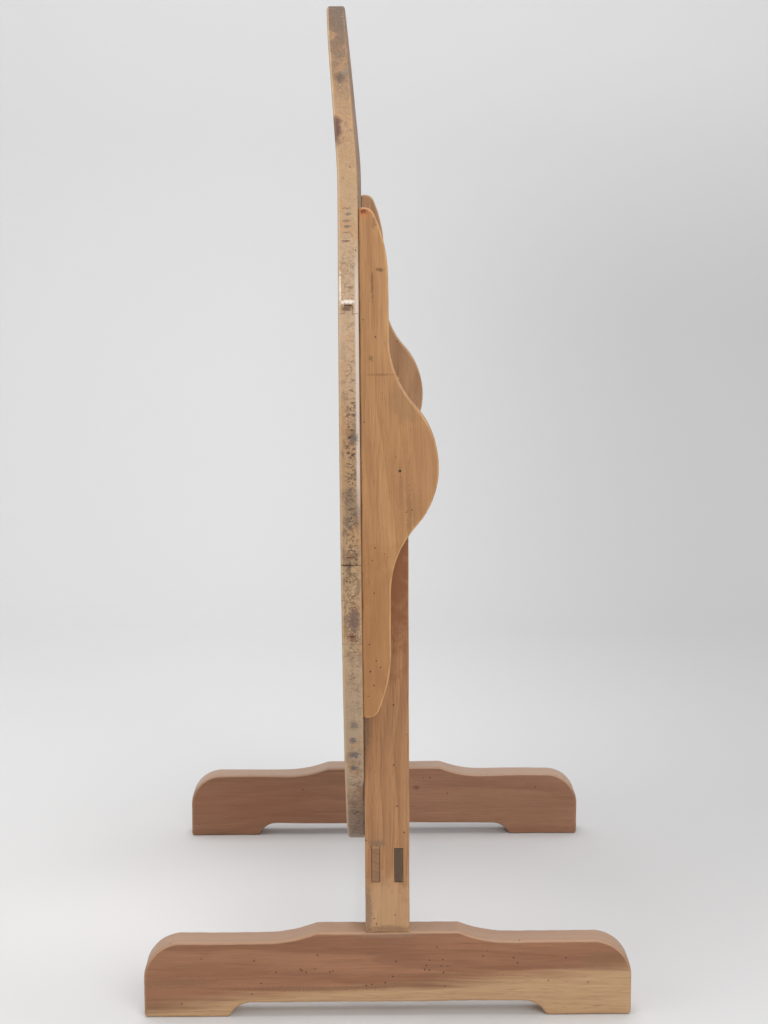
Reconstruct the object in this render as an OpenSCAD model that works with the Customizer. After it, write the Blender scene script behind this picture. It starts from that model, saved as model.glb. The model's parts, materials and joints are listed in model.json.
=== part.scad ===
// Tilt-top table on a trestle base.
// A round plank top is pegged to two shaped bearers, which turn on wooden pins in the heads of two
// posts. Each post stands on a foot, and two rails with twin tenons tie the posts together.
// Z is up from the floor, Y runs along the pivot, and the origin lies midway between the feet.
// The top is drawn tilted, where it leans on the posts with its upper face towards -X.

/* [Overall] */
// Height of the table when its top is level
table_h = 739; // [660:1:900]
// Diameter of the round top
top_d = 1110; // [1060:1:1340]
// Width of the base over the outer faces of its posts
base_w = 790; // [560:1:820]
// Length of each foot
foot_l = 600; // [500:1:760]

/* [Top] */
// Thickness of the planks
top_t = 23; // [18:0.1:32]
// Height of the lowest plank joint from the pivot line
joint_1 = -190; // [-260:1:-150]
// Height of the second plank joint from the pivot line
joint_2 = -94; // [-120:1:-60]
// Height of the third plank joint from the pivot line
joint_3 = 187; // [120:1:230]
// Thickness of the tongue along each joint
tongue_t = 9; // [6:0.5:12]
// Height of the tongue along each joint
tongue_h = 9; // [5:0.5:14]
// Chamfer around the rim of the top
rim_ease = 2.5; // [1:0.5:5]

/* [Bearers] */
// Length of each bearer
bearer_l = 604; // [540:1:620]
// Thickness of each bearer
bearer_t = 28; // [24:0.5:40]
// Depth of a bearer's straight arms under the top
arm_depth = 34; // [33:0.5:44]
// Depth of a bearer's bulge under the top
bulge_depth = 91.5; // [84:0.5:106]
// Radius of the bulge
bulge_r = 107; // [90:1:130]
// Radius of the hollow that runs from the bulge into an arm
hollow_r = 122; // [100:1:150]
// Radius of the sweep at the end of an arm
end_r = 195; // [180:1:230]
// Length of arm that the end sweep takes up
end_run = 84; // [70:1:90]
// Radius of the nose that the sweep runs into
nose_r = 14; // [10:0.5:16]
// Small round where the end of a bearer meets the top
corner_r = 4; // [2:0.5:5]
// Diameter of the pegs that hold the planks to the bearers
peg_d = 10; // [8:0.5:14]
// How deep those pegs reach into a bearer
peg_deep = 17; // [14:0.5:18]
// Distance from a plank joint, or from a bearer's end, to the nearest peg
peg_inset = 24; // [18:1:26]

/* [Posts and feet] */
// Width of each post along the foot
post_w = 54; // [45:0.1:68]
// Thickness of each post and foot
post_t = 40; // [32:0.5:50]
// Room between a post and the underside of the top as it swings
swing_room = 2; // [1.5:0.5:5]
// Height of a foot under its post
foot_h = 108; // [90:1:130]
// Height of a foot's shoulders
shoulder_h = 96; // [78:1:104]
// Length of a foot's raised middle
raised_l = 175; // [140:1:200]
// Length of the cove from the raised middle to a shoulder
cove_l = 62; // [30:1:80]
// Radius of a foot's rounded ends
foot_r = 47; // [30:1:60]
// Height of the hollow under a foot
hollow_h = 18; // [8:0.5:26]
// Length of the curve at each end of that hollow
hollow_run = 27; // [12:1:40]
// Length of each pad that a foot stands on
pad_l = 105; // [80:1:130]
// Width of the tenon that joins a post to its foot
foot_tenon_w = 42; // [34:1:46]
// Thickness of the tenon that joins a post to its foot
foot_tenon_t = 16; // [10:0.5:20]
// Length of the wedges driven into that tenon
wedge_l = 45; // [30:1:60]
// Thickness of those wedges at the wide end
wedge_t = 4; // [3:0.5:6]

/* [Rails] */
// Height of the middle of the lower rail
low_rail_z = 193; // [150:1:300]
// Drop from the pivot to the middle of the upper rail
high_rail_drop = 81; // [74:1:140]
// Width of each rail
rail_w = 44; // [40:0.5:46]
// Height of each rail
rail_h = 54; // [46:1:60]
// Thickness of each of the twin tenons
tenon_t = 9.6; // [7:0.1:12]
// Height of the twin tenons
tenon_h = 42; // [30:1:44]
// Distance between the middles of the twin tenons
tenon_pitch = 28; // [20:0.5:30]
// Thickness of the shim over a tenon
shim_t = 3; // [2:0.5:5]
// Length of that shim
shim_l = 14; // [8:1:24]

/* [Pivot and locking peg] */
// Diameter of the pivot pins
pin_d = 22; // [18:0.1:28]
// How deep a pivot pin reaches into its bearer
pin_deep = 20; // [12:0.5:22]
// Diameter of the locking peg
lock_d = 15; // [10:0.5:18]
// Drop from the pivot to the locking peg
lock_drop = 36; // [32:0.5:40]
// How deep the locking peg reaches into the bearer
lock_deep = 15; // [10:0.5:20]
// Radius of the locking peg's knob
knob_r = 13; // [9:0.5:15]

/* [Clearances] */
// Gap between a post and the bearer beside it
side_gap = 2; // [1:0.5:5]
// Gap at each of the top's two stops
stop_gap = 0.4; // [0.3:0.1:1]
// Gap around joints that are glued or driven
fit_gap = 0.1; // [0.05:0.05:0.3]
// Gap around a pin or peg that turns or slides in its bore
run_gap = 0.08; // [0.02:0.01:0.1]
// Gap around the locking peg in the bearer's holes
catch_gap = 0.5; // [0.3:0.1:1]

/* [Hidden] */
$fn = 96;
top_r = top_d / 2;
under_x = post_w / 2 + swing_room;          // pivot to the underside of the top
pivot_z = table_h - top_t - under_x;
out_y = base_w / 2;                         // outer faces of posts and feet
in_y = out_y - post_t;                      // inner faces of posts and feet
mid_y = (out_y + in_y) / 2;
bearer_y = out_y + side_gap;                // inner face of a bearer
head_r = under_x - stop_gap;                // height of a post's head over the pivot
reach = sqrt(top_r * top_r - in_y * in_y);  // pivot to where the rim passes a post
lean = asin((swing_room - stop_gap) / reach);
seams = [-top_r, joint_1, joint_2, joint_3, top_r];
bearer_end = bearer_l / 2;
peg_z = concat([-bearer_end + peg_inset],
               [for (j = [joint_1, joint_2, joint_3]) each [j - peg_inset, j + peg_inset]],
               [bearer_end - peg_inset]);
peg_side_y = bearer_y + bearer_t / 2;
arm_x = arm_depth - under_x;                // outer edge of a bearer's arm
tip_x = bulge_depth - under_x;              // tip of a bearer's bulge
lock_travel = side_gap + 2 * stop_gap + lock_deep;
far_cut = 2 * table_h;                      // longer than anything it cuts

// A flat outline in X and Z, given a thickness t from y0 towards +Y
module board(y0, t) {
    translate([0, y0 + t, 0]) rotate([90, 0, 0]) linear_extrude(t) children();
}

// A cylinder along Y from y0 to y1, through the point x, z
module rod_y(x, z, r, y0, y1) {
    translate([x, y1, z]) rotate([90, 0, 0]) cylinder(r = r, h = y1 - y0);
}

// A block centred on X, from y0 to y1 and from z0 to z1
module block(w, y0, y1, z0, z1) {
    translate([-w / 2, y0, z0]) cube([w, y1 - y0, z1 - z0]);
}

// Swings what is drawn about the pivot into the tilted place
module tilted() {
    translate([0, 0, pivot_z]) rotate([0, -lean, 0]) children();
}

// The far half of the table mirrors the near half
module far_side() {
    mirror([0, 1, 0]) children();
}

// ---- the top: drawn upright, with the pivot at the origin ----

// The whole round top, upper face towards -X
module disc() {
    translate([-under_x, 0, 0]) rotate([0, -90, 0]) rotate_extrude($fn = 180)
        polygon([[0, 0], [top_r - rim_ease, 0], [top_r, rim_ease], [top_r, top_t - rim_ease],
                 [top_r - rim_ease, top_t], [0, top_t]]);
}

// The slab of space between two heights, t thick about the middle of the top's thickness
module slab(z0, z1, t) {
    translate([-under_x - top_t / 2 - t / 2, -top_d, z0]) cube([t, 2 * top_d, z1 - z0]);
}

// Bores, or pegs, from the top's upper face down into both bearers
module peg_rods(sides, r, deep, rise) {
    for (side = sides, z = peg_z)
        translate([-under_x - top_t - rise, side * peg_side_y, z]) rotate([0, 90, 0])
            cylinder(r = r, h = top_t + rise + deep, $fn = 48);
}

// Plank i, with a tongue on its upper edge and a groove in its lower one
module plank(i) {
    last = len(seams) - 2;
    tilted() difference() {
        intersection() {
            disc();
            union() {
                slab(seams[i], seams[i + 1] - (i < last ? fit_gap : 0), 2 * top_t);
                if (i < last) slab(seams[i], seams[i + 1] + tongue_h, tongue_t);
            }
        }
        if (i > 0) slab(seams[i] - 1, seams[i] + tongue_h + 1, tongue_t + 2 * fit_gap);
        peg_rods([-1, 1], peg_d / 2 + run_gap, 1, 1);
    }
}

// A quarter of a disc whose middle is at x, z
module quarter(x, z, r) {
    intersection() {
        translate([x, z]) circle(r);
        translate([x, z]) square(r);
    }
}

// The end of a bearer's arm: a long sweep, the nose that it runs into, and the corner at the top
module arm_end() {
    sweep_z = bearer_end - end_run;
    sweep_x = arm_x - end_r;
    nose_z = bearer_end - nose_r;
    nose_x = sweep_x + sqrt(pow(end_r - nose_r, 2) - pow(nose_z - sweep_z, 2));
    touch_z = nose_z + (nose_z - sweep_z) * nose_r / (end_r - nose_r);
    corner_x = -under_x + corner_r;
    intersection() {
        translate([-under_x, sweep_z]) square([arm_depth, touch_z - sweep_z]);
        translate([sweep_x, sweep_z]) circle(end_r, $fn = 180);
    }
    quarter(nose_x, nose_z, nose_r);
    translate([-under_x, nose_z]) square([nose_x + under_x, nose_r - corner_r]);
    translate([corner_x, nose_z]) square([nose_x - corner_x, nose_r]);
    translate([corner_x, bearer_end - corner_r]) circle(corner_r);
}

// Half of a bearer's outline: arm, bulge and the hollow between them
module bearer_half() {
    hollow_x = arm_x + hollow_r;
    bulge_x = tip_x - bulge_r;
    hollow_z = sqrt(pow(bulge_r + hollow_r, 2) - pow(hollow_x - bulge_x, 2));
    share = bulge_r / (bulge_r + hollow_r);
    meet = [bulge_x + (hollow_x - bulge_x) * share, hollow_z * share];
    translate([-under_x, 0]) square([arm_depth, bearer_end - end_run]);
    arm_end();
    intersection() {
        translate([bulge_x, 0]) circle(bulge_r, $fn = 180);
        translate([-under_x / 2, 0]) square([tip_x + under_x / 2, bulge_r]);
    }
    difference() {
        polygon([[-under_x / 2, 0], [arm_x, 0], meet, [arm_x, hollow_z],
                 [-under_x / 2, hollow_z]]);
        translate([hollow_x, hollow_z]) circle(hollow_r, $fn = 180);
    }
}

// The near bearer, blind-bored for the pivot pin and for the planks' pegs
module bearer_blank() {
    difference() {
        board(-bearer_y - bearer_t, bearer_t) {
            bearer_half();
            mirror([0, 1]) bearer_half();
        }
        rod_y(0, 0, pin_d / 2 + run_gap, -bearer_y - pin_deep - side_gap, -bearer_y + 1);
        peg_rods([-1], peg_d / 2 + run_gap, peg_deep + 1, 0);
    }
}

// The near bearer also has a hole for the locking peg at each end of the top's swing
module bearer_near() {
    color("burlywood") tilted() difference() {
        bearer_blank();
        for (swing = [-lean, 90])
            rod_y(lock_drop * sin(swing), -lock_drop * cos(swing), lock_d / 2 + catch_gap,
                  -bearer_y - lock_deep - 1, -bearer_y + 1);
    }
}

module bearer_far() {
    color("peru") tilted() far_side() bearer_blank();
}

module bearer_pegs(side) {
    color("saddlebrown") tilted() peg_rods([side], peg_d / 2, peg_deep, 0);
}

// ---- the base ----

// Outline of a foot, without its mortise
module foot_outline() {
    cove_h = foot_h - shoulder_h;
    cove_r = (cove_l * cove_l + cove_h * cove_h) / (2 * cove_h);
    hollow_x = foot_l / 2 - pad_l - hollow_run;
    hollow_end_r = (hollow_run * hollow_run + hollow_h * hollow_h) / (2 * hollow_h);
    difference() {
        union() {
            difference() {
                translate([-raised_l / 2 - cove_l, 0]) square([raised_l + 2 * cove_l, foot_h]);
                for (side = [-1, 1])
                    translate([side * (raised_l / 2 + cove_l), shoulder_h + cove_r])
                        circle(cove_r, $fn = 360);
            }
            for (side = [-1, 1])
                translate([side * (foot_l / 2 - foot_r), shoulder_h - foot_r]) circle(foot_r);
            translate([-foot_l / 2, 0]) square([foot_l, shoulder_h - foot_r]);
            translate([-foot_l / 2 + foot_r, 0]) square([foot_l - 2 * foot_r, shoulder_h]);
        }
        translate([-hollow_x, -1]) square([2 * hollow_x, hollow_h + 1]);
        for (side = [-1, 1]) translate([side * hollow_x, hollow_h - hollow_end_r]) circle(hollow_end_r);
    }
}

module foot() {
    half = foot_tenon_t / 2 + fit_gap;
    difference() {
        board(-out_y, post_t) foot_outline();
        block(foot_tenon_w + 2 * fit_gap, -mid_y - half, -mid_y + half, -1, foot_h + 1);
    }
}

// One wedge in the lower end of a post's tenon, grown by a margin
module foot_wedge(x, margin) {
    wide = wedge_t / 2 + margin;
    narrow = wedge_t / 8 + margin;
    depth = foot_tenon_t + 2 * margin;
    board(-mid_y - depth / 2, depth) translate([x, hollow_h])
        polygon([[-wide, 0], [wide, 0], [narrow, wedge_l + margin], [-narrow, wedge_l + margin]]);
}

module foot_wedges() {
    for (x = [-1, 1]) foot_wedge(x * foot_tenon_w / 4, 0);
}

// Twin tenons of a rail at height z, from y0 to y1, grown by a margin
module twin_tenons(z, y0, y1, margin) {
    for (side = [-1, 1]) translate([side * tenon_pitch / 2, 0, 0])
        block(tenon_t + 2 * margin, y0, y1, z - tenon_h / 2 - margin, z + tenon_h / 2 + margin);
}

// The shim over the -X tenon of a rail at height z, driven in from the post's outer face
module shim(z, margin) {
    bottom = z + tenon_h / 2 + fit_gap;
    translate([-tenon_pitch / 2 - tenon_t / 2 - margin, -out_y, 0]) rotate([90, 0, 90])
        linear_extrude(tenon_t + 2 * margin)
            polygon([[0, bottom - margin], [shim_l + margin, bottom - margin],
                     [shim_l + margin, bottom + shim_t / 3 + margin],
                     [0, bottom + shim_t + margin]]);
}

// The near post: square where the level top rests on it, round where the top swings past
module post_blank() {
    foot_half = foot_tenon_t / 2;
    difference() {
        union() {
            board(-out_y, post_t) {
                translate([-post_w / 2, foot_h]) square([post_w, pivot_z - foot_h]);
                translate([0, pivot_z]) square([post_w / 2, head_r]);
                intersection() {
                    translate([-post_w / 2, pivot_z]) square([post_w, head_r]);
                    translate([0, pivot_z]) circle(head_r);
                }
            }
            block(foot_tenon_w, -mid_y - foot_half, -mid_y + foot_half, hollow_h, foot_h + 1);
        }
        for (x = [-1, 1]) foot_wedge(x * foot_tenon_w / 4, fit_gap);
        for (z = [low_rail_z, pivot_z - high_rail_drop]) {
            twin_tenons(z, -out_y - 1, -in_y + 1, fit_gap);
            shim(z, fit_gap);
        }
        rod_y(0, pivot_z, pin_d / 2 + fit_gap / 2, -out_y - 1, -in_y + 1);
    }
}

// The near post also carries the locking peg
module post_near() {
    color("sienna") difference() {
        post_blank();
        rod_y(0, pivot_z - lock_drop, lock_d / 2 + run_gap, -out_y - 1, -in_y + 1);
    }
}

module post_far() {
    color("sienna") far_side() post_blank();
}

// A rail between the posts, with twin tenons through each
module rail(z) {
    block(rail_w, -in_y, in_y, z - rail_h / 2, z + rail_h / 2);
    twin_tenons(z, -out_y, out_y, 0);
}

module shim_pair(z) {
    shim(z, 0);
    far_side() shim(z, 0);
}

module pivot_pin() {
    rod_y(0, pivot_z, pin_d / 2, -bearer_y - pin_deep, -in_y);
}

// The locking peg, drawn back into its post: a turned shaft with a round knob
module locking_peg() {
    tip_y = out_y - 2 * stop_gap;
    shaft_l = tip_y - in_y + lock_travel + stop_gap;
    knob_mid = shaft_l + 0.8 * knob_r;
    color("tan") translate([0, -tip_y, pivot_z - lock_drop]) rotate([-90, 0, 0]) rotate_extrude()
        union() {
            polygon([[0, 0], [lock_d / 2 - 1, 0], [lock_d / 2, 1], [lock_d / 2, shaft_l],
                     [0, shaft_l]]);
            intersection() {
                translate([0, knob_mid]) circle(knob_r);
                translate([0, shaft_l]) square([knob_r, 2 * knob_r]);
            }
        }
}

color("tan") plank(0);  // plank_1
color("wheat") plank(1);  // plank_2
color("tan") plank(2);  // plank_3
color("wheat") plank(3);  // plank_4
bearer_near();
bearer_far();
bearer_pegs(-1);  // bearer_pegs_near
bearer_pegs(1);  // bearer_pegs_far
color("chocolate") foot();  // foot_near
color("chocolate") far_side() foot();  // foot_far
post_near();
post_far();
color("tan") foot_wedges();  // foot_wedges_near
color("tan") far_side() foot_wedges();  // foot_wedges_far
color("peru") rail(low_rail_z);  // lower_rail
color("tan") shim_pair(low_rail_z);  // lower_rail_shims
color("peru") rail(pivot_z - high_rail_drop);  // upper_rail
color("tan") shim_pair(pivot_z - high_rail_drop);  // upper_rail_shims
color("saddlebrown") pivot_pin();  // pivot_pin_near
color("saddlebrown") far_side() pivot_pin();  // pivot_pin_far
locking_peg();
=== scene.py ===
# %% [markdown]
# # A tilt-top table
#
# This notebook dresses a working wooden table. The frame that it loads already has every part at its
# true size and place, and knows how the top swings. What it lacks is what a hand feels: arrises rubbed
# round, planks that are not quite flat, end grain, worm holes, wax and wear. Each cell makes one of
# these, and every new piece stands where a part of the frame stood.

# %% Load the frame
import json
import math

import bmesh
import bpy
import numpy as np
from mathutils import Matrix, Vector


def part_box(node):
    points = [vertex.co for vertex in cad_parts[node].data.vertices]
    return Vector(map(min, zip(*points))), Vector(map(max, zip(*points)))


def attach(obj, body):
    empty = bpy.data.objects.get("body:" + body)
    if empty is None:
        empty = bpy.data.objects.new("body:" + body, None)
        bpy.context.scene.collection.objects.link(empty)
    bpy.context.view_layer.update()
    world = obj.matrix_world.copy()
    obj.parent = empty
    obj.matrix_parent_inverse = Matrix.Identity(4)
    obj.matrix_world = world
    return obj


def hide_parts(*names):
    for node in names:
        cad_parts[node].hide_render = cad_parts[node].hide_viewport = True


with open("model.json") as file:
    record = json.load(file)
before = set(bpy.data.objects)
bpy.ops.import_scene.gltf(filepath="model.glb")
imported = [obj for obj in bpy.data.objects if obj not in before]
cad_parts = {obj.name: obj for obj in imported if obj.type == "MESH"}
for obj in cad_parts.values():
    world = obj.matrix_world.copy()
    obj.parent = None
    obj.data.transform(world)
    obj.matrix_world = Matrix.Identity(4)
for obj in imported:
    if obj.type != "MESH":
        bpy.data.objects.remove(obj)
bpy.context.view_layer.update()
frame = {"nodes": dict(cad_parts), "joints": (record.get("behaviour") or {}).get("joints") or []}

# %% [markdown]
# ## Measures
#
# A piece that is drawn again has to fit the part that it stands for, so its sizes are read off the
# frame wherever a box can tell them. The shaped outlines need a few radii that no box shows, and those
# are written here once, in metres.

# %% Read the main sizes from the frame
swing = next(joint for joint in frame["joints"] if joint["name"] == "top_tilt")
PIVOT_Z = swing["pos_m"][2]
LEAN = math.radians(swing["range_deg"][1] - 90)
post_low, post_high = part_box("post_near")
foot_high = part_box("foot_near")[1]
bearer_low, bearer_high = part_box("bearer_near")
rail_low, rail_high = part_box("lower_rail")

OUT_Y = -post_low.y
IN_Y = -post_high.y
POST_HALF = post_high.x
HEAD = post_high.z - PIVOT_Z
STOP_GAP = 0.0004
UNDER = HEAD + STOP_GAP
TOP_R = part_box("plank_3")[1].y
TOP_T = 0.023
FOOT_HALF = foot_high.x
FOOT_H = foot_high.z
BEARER_IN = -bearer_high.y
BEARER_OUT = -bearer_low.y
POST_Y = 0.375
CUP_START, CUP_SLOPE, CUP_EASE = 0.345, 0.083, 0.0004
print(f"pivot {PIVOT_Z:.3f} m up, top {2 * TOP_R:.3f} m across, leaning {math.degrees(LEAN):.2f} degrees")

# %% [markdown]
# ## Drawing outlines
#
# Every board on this table is a flat shape with some thickness: a foot, a post, a bearer, a plank. The
# shapes differ, but all can be drawn as four sides, each a run of straight lines and arcs. A Coons
# patch fills four such sides with an even grid, which bends to follow them. An extrusion of one big
# polygon would be quicker, but a grid can carry the slight waves that a hand plane leaves.

# %% Points on lines and arcs
def arc(cx, cz, radius, start, end, count=32):
    """Points at (cx + radius cos a, cz + radius sin a), for a from start to end in degrees."""
    a = np.radians(np.linspace(start, end, count))
    return np.column_stack([cx + radius * np.cos(a), cz + radius * np.sin(a)])


def line(*points):
    """The corners of a broken line, as an array."""
    return np.array(points, float)


def shares(count):
    """Values from 0 to 1, even but for a short first and last step that keeps flat faces flat."""
    lip = 0.25 / (count - 1)
    return np.concatenate([[0], np.linspace(lip, 1 - lip, count - 2), [1]])


def walk(path, s):
    """The points that lie at shares s of the path's length."""
    steps = np.linalg.norm(np.diff(path, axis=0), axis=1)
    run = np.concatenate([[0], np.cumsum(steps)]) / steps.sum()
    return np.column_stack([np.interp(s, run, path[:, 0]), np.interp(s, run, path[:, 1])])


def soften(path, corner, reach):
    """Swaps the path within reach of a corner for a parabola that leaves it along both sides."""
    steps = np.linalg.norm(np.diff(path, axis=0), axis=1)
    run = np.concatenate([[0], np.cumsum(steps)])
    middle = run[np.argmin(np.linalg.norm(path - corner, axis=1))]
    start, end = walk(path, np.array([middle - reach, middle + reach]) / run[-1])
    t = np.linspace(0, 1, 12)[:, None]
    bend = (1 - t) ** 2 * start + 2 * t * (1 - t) * np.array(corner) + t ** 2 * end
    return np.vstack([path[run < middle - reach], bend, path[run > middle + reach]])


def coons(low, high, left, right, u, w):
    """Sum of the two straight blends between facing sides, less the blend of the four corners."""
    u, w = u[None, :, None], w[:, None, None]
    across = (1 - w) * low[None] + w * high[None]
    along = (1 - u) * left[:, None] + u * right[:, None]
    corners = ((1 - u) * (1 - w) * low[0] + u * (1 - w) * low[-1]
               + (1 - u) * w * high[0] + u * w * high[-1])
    return across + along - corners


# %% [markdown]
# ## From outline to board
#
# A board is two such patches, a front and a back, joined by a band round the edge. The band turns from
# face to edge through a quarter circle, the arris, whose radius may change along the outline: a rim
# that hands have rubbed is rounder than a glued joint. Two numbers are kept at each point, and the
# finishes read them later: how near it is to an arris, and how much it belongs to an outer rim.

# %% Build a board as arrays
ARRIS_STEPS = 5
DENSE = 900


def at(rows, s):
    """Evenly spaced rows, read at shares s."""
    index = np.arange(len(rows)) / (len(rows) - 1)
    return np.column_stack([np.interp(s, index, column) for column in rows.T])


def meet(one, two):
    """Shares at which the last part of one crosses the first part of two, or 1 and 0 if they don't."""
    part = DENSE // 3
    a, c = one[-part:-1, None], two[None, :part - 1]
    d, e = one[-part + 1:, None] - a, two[None, 1:part] - c
    cross = d[..., 0] * e[..., 1] - d[..., 1] * e[..., 0]
    gap = c - a
    safe = np.where(np.abs(cross) < 1e-18, 1.0, cross)
    t = (gap[..., 0] * e[..., 1] - gap[..., 1] * e[..., 0]) / safe
    s = (gap[..., 0] * d[..., 1] - gap[..., 1] * d[..., 0]) / safe
    hit = (np.abs(cross) > 1e-18) & (t >= 0) & (t <= 1) & (s >= 0) & (s <= 1)
    if not hit.any():
        return 1.0, 0.0
    i, j = np.argwhere(hit)[-1]
    return (DENSE - part + i + t[i, j]) / (DENSE - 1), (j + s[i, j]) / (DENSE - 1)


def board(low, high, left, right, near, far, ease, place, size=(160, 24), rim=1.0, edge_rows=4):
    """Front and back Coons patches at depths near and far, and a band between them.

    Each side is moved in by its ease, and the moved sides are trimmed where they cross, as a mitre is.
    At angle a of an arris the band is at inset + (outline - inset) * sin a, and ease * (1 - cos a) deep.
    """
    n, m = size
    u, w = shares(n), shares(m)
    even = np.linspace(0, 1, DENSE)
    dense = [walk(side, even) for side in (low, right, high[::-1], left[::-1])]
    eases = [ease(side) if callable(ease) else np.full(DENSE, ease) for side in dense]
    moved = []
    for side, e in zip(dense, eases):
        tangent = np.gradient(side, axis=0)
        tangent /= np.linalg.norm(tangent, axis=1)[:, None]
        moved.append(side - np.column_stack([tangent[:, 1], -tangent[:, 0]]) * e[:, None])
    trims = [meet(moved[k], moved[(k + 1) % 4]) for k in range(4)]
    outer, inner, eased = [], [], []
    for k, s in enumerate((u, w, u, w)):
        start, end = trims[k - 1][1], trims[k][0]
        outer.append(at(dense[k], s))
        inner.append(at(moved[k], start + (end - start) * s))
        eased.append(np.interp(s, even, eases[k]))
    for k in range(4):
        nxt = (k + 1) % 4
        inner[k][-1] = inner[nxt][0] = (inner[k][-1] + inner[nxt][0]) / 2
        eased[k][-1] = eased[nxt][0] = max(eased[k][-1], eased[nxt][0])
    loop, inset, e = (np.concatenate([row[:-1] for row in rows]) for rows in (outer, inner, eased))
    count = len(loop)
    ids = np.arange(count)
    r = rim(loop) if callable(rim) else np.full(count, rim)
    patch = coons(inner[0], inner[2][::-1], inner[3][::-1], inner[1], u, w).reshape(-1, 2)
    grid = np.arange(n * m).reshape(m, n)
    ring = np.concatenate([grid[0, :-1], grid[:-1, -1], grid[-1, :0:-1], grid[:0:-1, 0]])

    rows, wear = [], []
    turns = np.linspace(0, np.pi / 2, ARRIS_STEPS + 1)
    for a in turns[1:]:
        rows.append((inset + (loop - inset) * np.sin(a), near + e * (1 - np.cos(a))))
        wear.append(np.full(count, np.sin(2 * a)))
    for s in np.linspace(0, 1, edge_rows + 2)[1:-1]:
        rows.append((loop, near + e + (far - near - 2 * e) * s))
        wear.append(np.zeros(count))
    for a in turns[:0:-1]:
        rows.append((inset + (loop - inset) * np.sin(a), far - e * (1 - np.cos(a))))
        wear.append(np.full(count, np.sin(2 * a)))
    flat = np.vstack([patch] + [row[0] for row in rows] + [patch])
    deep = np.concatenate([np.full(n * m, near)] + [row[1] for row in rows] + [np.full(n * m, far)])
    wear = np.concatenate([np.zeros(n * m), *wear, np.zeros(n * m)])
    edge = np.concatenate([np.zeros(n * m), *[r] * len(rows), np.zeros(n * m)])

    quads = [np.column_stack([grid[:-1, :-1].ravel(), grid[:-1, 1:].ravel(),
                              grid[1:, 1:].ravel(), grid[1:, :-1].ravel()])]
    back = n * m + count * len(rows)
    quads.append(back + quads[0][:, ::-1])
    bands = [ring] + [n * m + count * k + ids for k in range(len(rows))] + [back + ring]
    for one, two in zip(bands[:-1], bands[1:]):
        quads.append(np.column_stack([np.roll(one, -1), one, two, np.roll(two, -1)]))
    points = np.column_stack(place(flat[:, 0], flat[:, 1], deep))
    return points, np.vstack(quads), wear, edge


def upright(a, b, depth):
    """A board in the XZ plane: a runs along X, b up Z and the depth along Y."""
    return a, depth, b


def crosswise(a, b, depth):
    """A board in the YZ plane: a runs along Y, b up Z and the depth along X."""
    return depth, a, b


def tilted(points):
    """Turns points drawn about the pivot by the lean: x' = x cos a + z sin a, z' = z cos a - x sin a."""
    c, s = math.cos(-LEAN), math.sin(-LEAN)
    x, y, z = points.T
    return np.column_stack([x * c + z * s, y, PIVOT_Z - x * s + z * c])


# %% [markdown]
# ## Uneven by hand
#
# A hand-planed face is never quite flat. Adding up a few long sine waves, each with its own direction
# and phase, gives a gentle unevenness of a fraction of a millimetre. It is a function of place, so two
# shells of one piece move together and no seam opens.

# %% Waves and mesh making
def uneven(points, seed, amount=0.0002, longest=0.30):
    """points + amount * sum of sines of (wave . point + phase), along a random direction for each."""
    draw = np.random.default_rng(seed)
    moved = points.copy()
    for k in range(7):
        wave = draw.normal(size=3) * 2 * np.pi / (longest / (1 + 0.6 * k))
        push = draw.normal(size=3) * amount / (1 + 0.5 * k)
        moved += np.sin(points @ wave + draw.uniform(0, 2 * np.pi))[:, None] * push
    return moved


def together(*shells):
    """Several shells as one set of arrays."""
    points, quads, wear, edge, start = [], [], [], [], 0
    for shell in shells:
        points.append(shell[0])
        quads.append(shell[1] + start)
        wear.append(shell[2])
        edge.append(shell[3])
        start += len(shell[0])
    return np.vstack(points), np.vstack(quads), np.concatenate(wear), np.concatenate(edge)


def outward(points, quads):
    """Turns the faces round if the signed volume under them is negative."""
    a, b, c, d = (points[quads[:, k]] for k in range(4))
    volume = np.einsum("ij,ij->i", a, np.cross(b, c)) + np.einsum("ij,ij->i", a, np.cross(c, d))
    return quads if volume.sum() > 0 else quads[:, ::-1]


def mesh_of(name, shells):
    """A mesh object from (points, quads, wear, edge) shells, with doubles merged and faces outward."""
    turned_out = [(p, outward(p, q), a, b) for p, q, a, b in shells]
    points, quads, wear, edge = together(*turned_out)
    mesh = bpy.data.meshes.new(name)
    mesh.vertices.add(len(points))
    mesh.vertices.foreach_set("co", points.astype(np.float32).ravel())
    mesh.loops.add(quads.size)
    mesh.loops.foreach_set("vertex_index", quads.astype(np.int32).ravel())
    mesh.polygons.add(len(quads))
    mesh.polygons.foreach_set("loop_start", np.arange(0, quads.size, 4, dtype=np.int32))
    mesh.update(calc_edges=True)
    for label, values in (("wear", wear), ("rim", edge)):
        mesh.attributes.new(label, "FLOAT", "POINT").data.foreach_set("value", values.astype(np.float32))
    work = bmesh.new()
    work.from_mesh(mesh)
    bmesh.ops.remove_doubles(work, verts=work.verts, dist=1e-6)
    bmesh.ops.dissolve_degenerate(work, dist=1e-7, edges=work.edges)
    work.to_mesh(mesh)
    work.free()
    mesh.polygons.foreach_set("use_smooth", np.ones(len(mesh.polygons), bool))
    piece = bpy.data.objects.new(name, mesh)
    bpy.context.scene.collection.objects.link(piece)
    return piece


# %% [markdown]
# ## Turned work and cutting
#
# Pins and pegs come off a lathe, so they are a profile carried round an axis. Mortises, bores and
# grooves are cut as a joiner cuts them: a block or a rod of the hole's size is taken away from the
# board, and then thrown away itself.

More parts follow.
